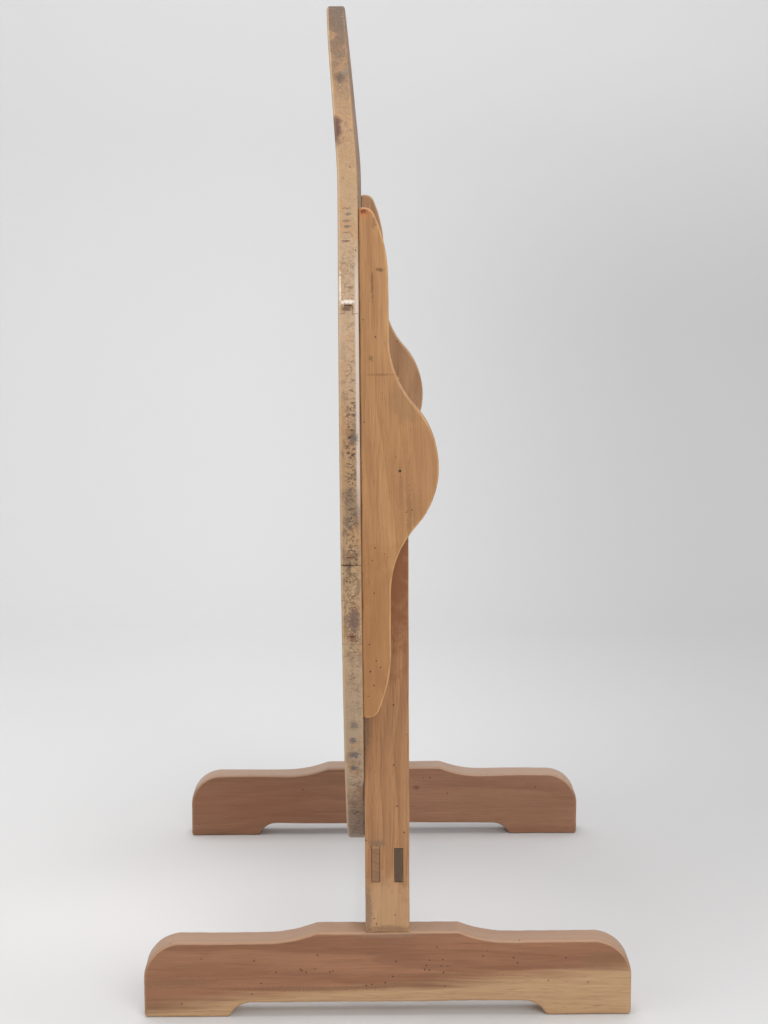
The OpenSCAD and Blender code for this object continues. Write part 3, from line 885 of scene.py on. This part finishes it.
def finish_piece(piece, material, body, slot, *nodes):
    """Gives a piece its finish, its body, and the parts that it stands for; the slot is not used."""
    piece.data.materials.clear()
    piece.data.materials.append(material)
    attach(piece, body)
    if nodes:
        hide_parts(*nodes)
    print(f"{piece.name}: {len(piece.data.polygons)} faces")
    return piece


def bearer(name, near, far, seed):
    shell = board(near=near, far=far, ease=BEARER_ARRIS, place=upright, size=(26, 260), edge_rows=6,
                  **bearer_sides)
    return mesh_of(name, [moved(shell, lambda points: uneven(points, seed, 0.00012), tilted)])


def tilted_rod(radius, length, x, z, y, direction):
    return moved(rod(radius, length, (x, y, z), direction), tilted)


inside = -BEARER_IN
near_bearer = bearer("bearer_near_shaped", -BEARER_OUT, inside, 1)
catches = [(LOCK_DROP * math.sin(a), -LOCK_DROP * math.cos(a)) for a in (-LEAN, math.pi / 2)]
cut(near_bearer, tilted_rod(PIN_BORE_R, PIN_DEEP + PAST, 0, 0, inside + PAST, (0, -1, 0)),
    *[tilted_rod(LOCK_R, LOCK_DEEP + PAST, x, z, inside + PAST, (0, -1, 0)) for x, z in catches])
far_bearer = bearer("bearer_far_shaped", BEARER_IN, BEARER_OUT, 2)
cut(far_bearer, tilted_rod(PIN_BORE_R, PIN_DEEP + PAST, 0, 0, BEARER_IN - PAST, (0, 1, 0)))
finish_piece(near_bearer, near_bearer_wood, "top", "light_bearer_wood", "bearer_near")
finish_piece(far_bearer, far_bearer_wood, "top", "dark_bearer_wood", "bearer_far")

# %% [markdown]
# ## Planks
#
# The top is a disc sawn from four planks with tongues and grooves. The two outer planks are segments
# of the disc, so three of their four sides lie on the rim, and the inner ones are strips with a piece
# of rim at each end. Where two planks meet they are barely eased, and the rim is well rounded. The
# tongue follows the rim too, and shows at the edge of the table as it does on the real one.

# %% Shape one plank
SEAMS = (-0.190, -0.094, 0.187)
SEAM_GAP = 0.00018
RIM_ARRIS = 0.0030
OPEN_SEAM = -0.094
TONGUE_T = 0.009
TONGUE_H = 0.009
TOP_FACE = -UNDER - TOP_T
PLANK_GRID = (220, 44)


def strip(z_low, z_high, near, far, ease, size, rim=1.0, radius=TOP_R):
    """A strip of the disc between two heights; a height beyond the disc makes it a segment."""
    def angle(z):
        return math.degrees(math.asin(z / radius))

    def half(z):
        return math.sqrt(radius ** 2 - z ** 2)

    def rim_arc(from_angle, to_angle):
        return arc(0, 0, radius, from_angle, to_angle, 240)

    if z_low <= -TOP_R:
        top = angle(z_high)
        sides = {"low": rim_arc(230, 310), "high": line((-half(z_high), z_high), (half(z_high), z_high)),
                 "left": rim_arc(230, 180 - top), "right": rim_arc(310, 360 + top)}
    elif z_high >= TOP_R:
        base = angle(z_low)
        sides = {"low": line((-half(z_low), z_low), (half(z_low), z_low)), "high": rim_arc(130, 50),
                 "left": rim_arc(180 - base, 130), "right": rim_arc(base, 50)}
    else:
        sides = {"low": line((-half(z_low), z_low), (half(z_low), z_low)),
                 "high": line((-half(z_high), z_high), (half(z_high), z_high)),
                 "left": rim_arc(180 - angle(z_low), 180 - angle(z_high)),
                 "right": rim_arc(angle(z_low), angle(z_high))}
    return board(near=near, far=far, ease=ease, place=crosswise, size=size, rim=rim, **sides)


def on_rim(points):
    """1 where the outline lies on the disc's rim and 0 along a joint."""
    return (np.hypot(points[:, 0], points[:, 1]) > TOP_R - 1e-5).astype(float)


def plank_ease(points):
    """A wide arris on the rim, a small one along the joint that has opened, a tiny one elsewhere."""
    joint = np.where(np.abs(points[:, 1] - OPEN_SEAM) < 0.001, 0.0008, 0.0003)
    return np.where(on_rim(points) > 0, RIM_ARRIS, joint)


def cupped(points):
    """Bends the top plank's free end: x falls by slope * (d + root(d * d + ease)) / 2, d above the start."""
    bent = points.copy()
    d = points[:, 2] - CUP_START
    bent[:, 0] -= CUP_SLOPE * (d + np.sqrt(d * d + CUP_EASE)) / 2
    return bent


def plank(number):
    """Plank number 0 to 3 with its tongue, its groove cut out, at rest in the leaning top."""
    bounds = (-TOP_R, *SEAMS, TOP_R)
    low = bounds[number] + (SEAM_GAP if number else 0)
    high = bounds[number + 1] - (SEAM_GAP if number < 3 else 0)
    shells = [strip(low, high, TOP_FACE, -UNDER, plank_ease, PLANK_GRID, on_rim)]
    middle = TOP_FACE + TOP_T / 2
    if number < 3:
        half = TONGUE_T / 2
        shells.append(strip(high - 0.004, high + TONGUE_H, middle - half, middle + half, 0.0003,
                            (120, 6), 1.0, TOP_R - 0.0001))
    shells = [moved(s, lambda points: uneven(points, 20, 0.00008, 0.5), cupped, tilted) for s in shells]
    piece = mesh_of(f"plank_{number + 1}_planed", shells[:1])
    tools = []
    if number:
        slot_half = TONGUE_T / 2 + 0.00012
        slot = block((middle - slot_half, -0.6, low - 0.01),
                     (middle + slot_half, 0.6, low + TONGUE_H + 0.0003))
        tools.append(moved(slot, tilted))
    for side in (-1, 1):
        for z in PEG_HEIGHTS:
            if low < z < high:
                start = (TOP_FACE - PAST, side * PEG_Y, z)
                bore = rod(PEG_R + 0.00025, TOP_T + 2 * PAST, start, (1, 0, 0), 32)
                tools.append(moved(bore, tilted))
    cut(piece, *tools)
    return add(piece, mesh_of("tongue", shells[1:])) if number < 3 else piece


# %% Make the planks and their pegs
PEG_R = 0.005
PEG_INSET = 0.024
PEG_DEEP = 0.017
PEG_Y = (BEARER_IN + BEARER_OUT) / 2
PEG_HEIGHTS = sorted([-BEARER_HALF + PEG_INSET, BEARER_HALF - PEG_INSET]
                     + [seam + side * PEG_INSET for seam in SEAMS for side in (-1, 1)])
for number in range(4):
    finish_piece(plank(number), plank_woods[number], "top", "top_plank_wood", f"plank_{number + 1}")


def peg(y, z):
    """A driven peg: a slightly domed head at the upper face, then a straight shank."""
    profile = [(0, 0), (PEG_R * 0.6, 0.00005), (PEG_R * 0.93, 0.0003), (PEG_R, 0.0008),
               (PEG_R, TOP_T + PEG_DEEP), (0, TOP_T + PEG_DEEP)]
    return moved(lathe(profile, (TOP_FACE, y, z), (1, 0, 0), 28), tilted)


for side, word in ((-1, "near"), (1, "far")):
    pegs = mesh_of(f"top_pegs_{word}", [peg(side * PEG_Y, z) for z in PEG_HEIGHTS])
    pegs.data.set_sharp_from_angle(angle=math.radians(40))
    finish_piece(pegs, peg_wood, "top", "peg_wood", f"bearer_pegs_{word}")

# %% [markdown]
# ## Feet
#
# A foot is cut from one thick board: shoulders at both ends, a raised middle under the post, and a
# hollow underneath that leaves two pads, so that it stands firm on an uneven floor. The ends are
# quarter rounds, and every arris has been softened by a century of brooms.

# %% Draw and make a foot
SHOULDER_H = 0.096
RAISED_HALF = 0.0875
COVE_L = 0.062
FOOT_R = 0.047
HOLLOW_H = 0.018
HOLLOW_RUN = 0.027
PAD_L = 0.105
HEEL_R = 0.005
FOOT_ARRIS = 0.0032
FOOT_TENON_HALF = 0.021
FOOT_TENON_T = 0.016


def foot_top_half():
    """The top of a foot from its middle to the quarter round at its end."""
    rise = FOOT_H - SHOULDER_H
    cove_r = (COVE_L ** 2 + rise ** 2) / (2 * rise)
    steep = math.degrees(math.asin(COVE_L / cove_r))
    start = RAISED_HALF + COVE_L
    path = np.vstack([line((0, FOOT_H), (RAISED_HALF - 0.010, FOOT_H)),
                      arc(start, SHOULDER_H + cove_r, cove_r, 270 - steep, 270),
                      arc(FOOT_HALF - FOOT_R, SHOULDER_H - FOOT_R, FOOT_R, 90, 20)])
    return soften(path, (RAISED_HALF, FOOT_H), 0.003)


def foot_bottom_half():
    """The underside from the middle of the hollow to the heel."""
    end_r = (HOLLOW_RUN ** 2 + HOLLOW_H ** 2) / (2 * HOLLOW_H)
    start = FOOT_HALF - PAD_L - HOLLOW_RUN
    turn = math.degrees(math.asin(HOLLOW_RUN / end_r))
    path = np.vstack([line((0, HOLLOW_H), (start - 0.001, HOLLOW_H)),
                      arc(start, HOLLOW_H - end_r, end_r, 90, 90 - turn),
                      line((FOOT_HALF - PAD_L + 0.006, 0), (FOOT_HALF - HEEL_R, 0))])
    return soften(path, (FOOT_HALF - PAD_L, 0), 0.0045)


def both_ways(half):
    """Half an outline, mirrored to the left and joined."""
    return np.vstack([(half * [-1, 1])[::-1], half[1:]])


foot_top, foot_bottom = foot_top_half(), foot_bottom_half()
foot_end = np.vstack([arc(FOOT_HALF - HEEL_R, HEEL_R, HEEL_R, 270, 360),
                      arc(FOOT_HALF - FOOT_R, SHOULDER_H - FOOT_R, FOOT_R, 0, 20)])
foot_sides = {"low": both_ways(foot_bottom), "high": both_ways(foot_top),
              "left": foot_end * [-1, 1], "right": foot_end}


def foot(name, near, far, seed):
    # the rim share marks the upper part of the outline, whose faces the finish paints paler as dust and
    # painted sheen
    shell = board(near=near, far=far, ease=FOOT_ARRIS, place=upright, size=(340, 44), edge_rows=6,
                  rim=lambda loop: np.clip((loop[:, 1] - 0.05) / 0.03, 0, 1), **foot_sides)
    points = uneven(shell[0], seed, 0.00025, 0.25)
    points[:, 2] = np.maximum(points[:, 2], 0)
    piece = mesh_of(name, [(points, *shell[1:])])
    middle = (near + far) / 2
    mortise = block((-FOOT_TENON_HALF - 0.0001, middle - FOOT_TENON_T / 2 - 0.0001, -0.01),
                    (FOOT_TENON_HALF + 0.0001, middle + FOOT_TENON_T / 2 + 0.0001, FOOT_H + 0.01))
    return cut(piece, mortise)


finish_piece(foot("foot_near_shaped", -OUT_Y, -IN_Y, 5), near_foot_wood, "base", "foot_wood", "foot_near")
finish_piece(foot("foot_far_shaped", IN_Y, OUT_Y, 6), far_foot_wood, "base", "foot_wood", "foot_far")

# %% [markdown]
# ## Posts
#
# The head of a post is half square and half round. The square corner is where the level top comes to
# rest, and the round side is cut away so that the top can swing past it. The mortises for the rail go
# right through, and a dark line shows round each tenon, where the wood has shrunk a little.

# %% Draw and make a post
POST_ARRIS = 0.0014
HIGH_RAIL_DROP = 0.081
LOW_RAIL_Z = (rail_low.z + rail_high.z) / 2
TENON_T = 0.0096
TENON_HALF = 0.021
TENON_PITCH = 0.028
TENON_GAP = 0.0006
SHIM_T = 0.003
SHIM_L = 0.014
RAIL_HEIGHTS = (LOW_RAIL_Z, PIVOT_Z - HIGH_RAIL_DROP)
round_start = math.degrees(math.acos(POST_HALF / HEAD))
head = np.vstack([(arc(0, PIVOT_Z, HEAD, 180 - round_start, 90)),
                  line((0.004, PIVOT_Z + HEAD), (POST_HALF, PIVOT_Z + HEAD))])
post_sides = {"low": line((-POST_HALF, FOOT_H), (POST_HALF, FOOT_H)), "high": head,
              "left": line((-POST_HALF, FOOT_H), head[0]),
              "right": line((POST_HALF, FOOT_H), (POST_HALF, PIVOT_Z + HEAD))}


def mortises(side):
    """Blocks for the four mortises of a post, the -X ones taller at the outer face, for their shims."""
    tools = []
    for z in RAIL_HEIGHTS:
        for lane in (-1, 1):
            x = lane * TENON_PITCH / 2
            half, tall = TENON_T / 2 + TENON_GAP, TENON_HALF + TENON_GAP
            tools.append(block((x - half, side * POST_Y - 0.03, z - tall),
                               (x + half, side * POST_Y + 0.03, z + tall)))
        y_out, y_in = sorted((side * (OUT_Y + 0.005), side * (OUT_Y - SHIM_L)))
        tools.append(block((-TENON_PITCH / 2 - half, y_out, z),
                           (-TENON_PITCH / 2 + half, y_in, z + tall + SHIM_T)))
    return tools


def post(name, side, seed):
    near, far = sorted((side * OUT_Y, side * IN_Y))
    shell = board(near=near, far=far, ease=POST_ARRIS, place=upright, size=(26, 240), edge_rows=8,
                  **post_sides)
    piece = mesh_of(name, [moved(shell, lambda points: uneven(points, seed, 0.00010, 0.35))])
    for tool in mortises(side):
        cut(piece, tool)
    cut(piece, rod(PIN_BORE_R, 0.08, (0, side * POST_Y - 0.04, PIVOT_Z), (0, 1, 0)))
    if side < 0:
        cut(piece, rod(LOCK_R - 0.0004, 0.08, (0, -0.415, PIVOT_Z - LOCK_DROP), (0, 1, 0)))
    middle = (near + far) / 2
    tenon = board(line((-FOOT_TENON_HALF, HOLLOW_H), (FOOT_TENON_HALF, HOLLOW_H)),
                  line((-FOOT_TENON_HALF, FOOT_H + 0.004), (FOOT_TENON_HALF, FOOT_H + 0.004)),
                  line((-FOOT_TENON_HALF, HOLLOW_H), (-FOOT_TENON_HALF, FOOT_H + 0.004)),
                  line((FOOT_TENON_HALF, HOLLOW_H), (FOOT_TENON_HALF, FOOT_H + 0.004)),
                  middle - FOOT_TENON_T / 2, middle + FOOT_TENON_T / 2, 0.0004, upright, (12, 12))
    extra = mesh_of("tenon", [tenon])
    cut(extra, *[wedge_tool(x, middle) for x in (-FOOT_TENON_HALF / 2, FOOT_TENON_HALF / 2)])
    return add(piece, extra)


def wedge_tool(x, middle):
    """The tapered saw cut in a foot tenon that its wedge opens."""
    points, quads, wear, edge = block((x - 0.0021, middle - 0.02, HOLLOW_H - 0.001),
                                      (x + 0.0021, middle + 0.02, HOLLOW_H + 0.0451))
    high = points[:, 2] > HOLLOW_H + 0.02
    points[high, 0] = x + (points[high, 0] - x) * 0.29
    return points, quads, wear, edge


finish_piece(post("post_near_planed", -1, 8), post_wood, "base", "post_wood", "post_near")
finish_piece(post("post_far_planed", 1, 9), post_wood, "base", "post_wood", "post_far")

# %% [markdown]
# ## Rails, pins and the locking peg
#
# Two rails tie the posts together, each with a pair of tenons at both ends, because one wide tenon
# would split a post. The pins that carry the top are fixed in the post heads. The locking peg is a
# turned piece with a knob: pushed through the near post, it enters the bearer and holds the top.

# %% Make the rails
RAIL_HALF_W = rail_high.x
RAIL_HALF_H = (rail_high.z - rail_low.z) / 2
RAIL_ARRIS = 0.0025


def oblong(y0, y1, z0, z1, x0, x1, ease, size):
    return board(line((y0, z0), (y1, z0)), line((y0, z1), (y1, z1)), line((y0, z0), (y0, z1)),
                 line((y1, z0), (y1, z1)), x0, x1, ease, crosswise, size)


def rail(name, z, seed):
    shells = [oblong(-IN_Y, IN_Y, z - RAIL_HALF_H, z + RAIL_HALF_H, -RAIL_HALF_W, RAIL_HALF_W, RAIL_ARRIS,
                     (200, 16))]
    for side in (-1, 1):
        for lane in (-1, 1):
            x = lane * TENON_PITCH / 2
            y0, y1 = sorted((side * (IN_Y - 0.004), side * (OUT_Y - 0.0001)))
            shells.append(oblong(y0, y1, z - TENON_HALF, z + TENON_HALF, x - TENON_T / 2, x + TENON_T / 2,
                                 0.0005, (20, 12)))
    return mesh_of(name, [moved(s, lambda points: uneven(points, seed, 0.00008, 0.4)) for s in shells])


finish_piece(rail("lower_rail_planed", RAIL_HEIGHTS[0], 11), rail_wood, "base", "rail_wood", "lower_rail")
finish_piece(rail("upper_rail_planed", RAIL_HEIGHTS[1], 12), rail_wood, "base", "rail_wood", "upper_rail")

# %% Turn the pins and the locking peg
PEG_TIP_Y = -OUT_Y + 2 * STOP_GAP
peg_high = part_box("locking_peg")[1]
KNOB_R = peg_high.z - (PIVOT_Z - LOCK_DROP)
SHAFT_R = 0.0075
SHAFT_L = peg_high.y - PEG_TIP_Y - 1.8 * KNOB_R


def pivot_pin(side):
    """A plain pin with eased ends, from the post's inner face to the bottom of the bearer's bore."""
    length = OUT_Y - IN_Y + BEARER_IN - OUT_Y + 0.020
    profile = [(0, 0), (PIN_R - 0.0012, 0), (PIN_R - 0.0003, 0.0004), (PIN_R, 0.0014),
               (PIN_R, length - 0.001), (PIN_R - 0.001, length), (0, length)]
    return lathe(profile, (0, side * IN_Y, PIVOT_Z), (0, side, 0))


def locking_profile():
    """Tip, shaft, a small collar, and a ball knob flattened at its end, with two cut rings."""
    ball = np.radians(np.linspace(-52, 88, 40))
    knob = np.column_stack([KNOB_R * np.cos(ball), SHAFT_L + KNOB_R * (0.8 + np.sin(ball))])
    for mark in (10, 16):
        knob[mark, 0] -= 0.0006
    return [(0, 0), (SHAFT_R - 0.0016, 0), (SHAFT_R - 0.0004, 0.0006), (SHAFT_R, 0.002),
            (SHAFT_R, SHAFT_L - 0.0002), *map(tuple, knob), (0, SHAFT_L + 1.8 * KNOB_R)]


for side, word in ((-1, "near"), (1, "far")):
    pin = mesh_of(f"pivot_pin_{word}_turned", [pivot_pin(side)])
    pin.data.set_sharp_from_angle(angle=math.radians(50))
    finish_piece(pin, pin_wood, "base", "pin_wood", f"pivot_pin_{word}")
lock_start = (0, PEG_TIP_Y, PIVOT_Z - LOCK_DROP)
lock = mesh_of("locking_peg_turned", [lathe(locking_profile(), lock_start, (0, 1, 0), 64)])
lock.data.set_sharp_from_angle(angle=math.radians(40))
finish_piece(lock, peg_wood, "lock_peg", "peg_wood", "locking_peg")

# %% [markdown]
# ## Small parts that stay as they are
#
# The wedges under the feet and the shims over the tenons are plain tapered slips on the real table
# too. The frame's own parts have the right shape, and only need a wood.

# %% Dress the wedges and shims
for node in ("foot_wedges_near", "foot_wedges_far", "lower_rail_shims", "upper_rail_shims"):
    part = frame["nodes"][node]
    for index in range(len(part.material_slots)):
        part.material_slots[index].material = peg_wood
    print(node, "keeps its shape")

# %% [markdown]
# ## Floor, light and camera
#
# The table stands on a pale cloth that runs up into the background in one curve, so that no horizon
# shows. Light comes from large soft lamps: the main one stands behind the camera, a wide one hangs
# overhead, and a weaker one on the left models the rounded edges. The cloth's colour holds painted
# shade, darker on the right and low down towards the back, and a painted pool of light round the feet.
# Its back is clear, so that the table also shows from behind. The camera is a long lens three metres off,
# just above the table.

# %% The cloth
FLOOR_NEAR, FLOOR_FAR, CLOTH_HALF, CLOTH_RISE, BEND_R = -4.5, 1.9, 5.0, 4.2, 1.1


def cloth():
    """A profile of floor, quarter bend and wall, carried along X."""
    bend = np.radians(np.linspace(-90, 0, 40))
    y = np.concatenate([np.linspace(FLOOR_NEAR, FLOOR_FAR, 60), FLOOR_FAR + BEND_R * np.cos(bend),
                        np.full(20, FLOOR_FAR + BEND_R)])
    z = np.concatenate([np.zeros(60), BEND_R * (1 + np.sin(bend)), np.linspace(BEND_R, CLOTH_RISE, 21)[1:]])
    x = np.linspace(-CLOTH_HALF, CLOTH_HALF, 80)
    points = np.stack([np.broadcast_to(x, (len(y), 80)), np.repeat(y[:, None], 80, 1),
                       np.repeat(z[:, None], 80, 1)], axis=-1).reshape(-1, 3)
    grid = np.arange(len(points)).reshape(len(y), 80)
    quads = np.column_stack([grid[:-1, :-1].ravel(), grid[:-1, 1:].ravel(), grid[1:, 1:].ravel(),
                             grid[1:, :-1].ravel()])
    return points, quads


cloth_points, cloth_quads = cloth()
cloth_mesh = bpy.data.meshes.new("cloth")
cloth_mesh.from_pydata(cloth_points.tolist(), [], cloth_quads.tolist())
cloth_mesh.polygons.foreach_set("use_smooth", np.ones(len(cloth_mesh.polygons), bool))
backdrop = bpy.data.objects.new("cloth", cloth_mesh)
bpy.context.scene.collection.objects.link(backdrop)
g = Graph("cloth_white")
where = g.axes(g.place)
# painted shade: the cloth is painted darker to the right, towards the back and low down
behind = g.step(where[1], -0.8, 0.6)
low_down = g.rest(g.step(where[2], 0.55, 1.35))
painted_shade = g.times(g.times(g.step(where[0], -0.4, 0.8), low_down), behind)
cloth_colour = g.mix(painted_shade, (0.73, 0.73, 0.733, 1), (0.57, 0.57, 0.575, 1))
# painted light: the cloth is painted paler round the feet, where the table's shadow falls
near_feet = g.vector("DIVIDE", g.vector("SUBTRACT", g.place, (-0.14, -0.04, 0)), (0.45, 0.34, 1.0))
painted_light_patch = g.rest(g.step(g.length(near_feet), 0.3, 1.2))
cloth_colour = g.mix(g.times(painted_light_patch, 0.8), cloth_colour, (0.86, 0.86, 0.862, 1))
folds = g.noise(g.place, (1.6, 1.1, 1.0), 3, 0.5, 0.8)
weave = g.noise(g.place, (260, 260, 260), 1)
cloth_relief = g.plus(folds, g.times(weave, 0.004))
cloth_bump = g.node("ShaderNodeBump", {"Strength": 0.35, "Distance": 0.03, "Height": cloth_relief}).outputs[0]
cloth_shader = g.node("ShaderNodeBsdfPrincipled", {"Base Color": cloth_colour, "Roughness": 0.95,
                                                   "Normal": cloth_bump, "Specular IOR Level": 0.1})
seen_from_behind = g.times(g.node("ShaderNodeNewGeometry").outputs["Backfacing"],
                          g.node("ShaderNodeLightPath").outputs["Is Camera Ray"])
cloth_mix = g.node("ShaderNodeMixShader", {0: seen_from_behind, 1: cloth_shader.outputs[0],
                                           2: g.node("ShaderNodeBsdfTransparent").outputs[0]})
cloth_mesh.materials.append(g.finish(cloth_mix))
print("the cloth runs", FLOOR_FAR + BEND_R - FLOOR_NEAR, "m deep")

# %% The lamps
def lamp(name, place, target, size, power):
    """A square area lamp, turned so that it faces its target."""
    data = bpy.data.lights.new(name, "AREA")
    data.size, data.energy = size, power
    made = bpy.data.objects.new(name, data)
    made.location = place
    made.rotation_euler = (Vector(target) - Vector(place)).to_track_quat("-Z", "Y").to_euler()
    bpy.context.scene.collection.objects.link(made)
    return made


lamp("key", (1.3, -4.0, 2.3), (0, 0, 0.6), 2.6, 82)
lamp("overhead", (-0.2, 0.3, 3.6), (0, 0.3, 0), 3.0, 84)
lamp("side", (-3.2, -1.6, 2.2), (0, 0.4, 0.4), 2.4, 14)
world = bpy.data.worlds.new("studio")
world.use_nodes = True
sky = world.node_tree.nodes["Background"].inputs
sky[0].default_value, sky[1].default_value = (1, 1, 1, 1), 0.45
bpy.context.scene.world = world

# %% The camera
CAMERA_PLACE = (-0.0154, -3.0366, 1.0494)
CAMERA_DOWN, CAMERA_RIGHT, CAMERA_ROLL = math.radians(9.035), math.radians(0.293), math.radians(0.274)
CAMERA_LENS = 79.07
forward = np.array([math.sin(CAMERA_RIGHT) * math.cos(CAMERA_DOWN),
                    math.cos(CAMERA_RIGHT) * math.cos(CAMERA_DOWN), -math.sin(CAMERA_DOWN)])
level = np.array([math.cos(CAMERA_RIGHT), -math.sin(CAMERA_RIGHT), 0.0])
above = np.cross(level, forward)
right = math.cos(CAMERA_ROLL) * level - math.sin(CAMERA_ROLL) * above
top_way = math.sin(CAMERA_ROLL) * level + math.cos(CAMERA_ROLL) * above
camera_data = bpy.data.cameras.new("camera")
camera_data.sensor_width, camera_data.lens = 36, CAMERA_LENS
camera = bpy.data.objects.new("camera", camera_data)
camera.matrix_world = Matrix.Translation(CAMERA_PLACE) @ Matrix(
    np.column_stack([right, top_way, -forward]).tolist()).to_4x4()
bpy.context.scene.collection.objects.link(camera)
bpy.context.scene.camera = camera
bpy.context.scene.view_settings.view_transform = "Standard"
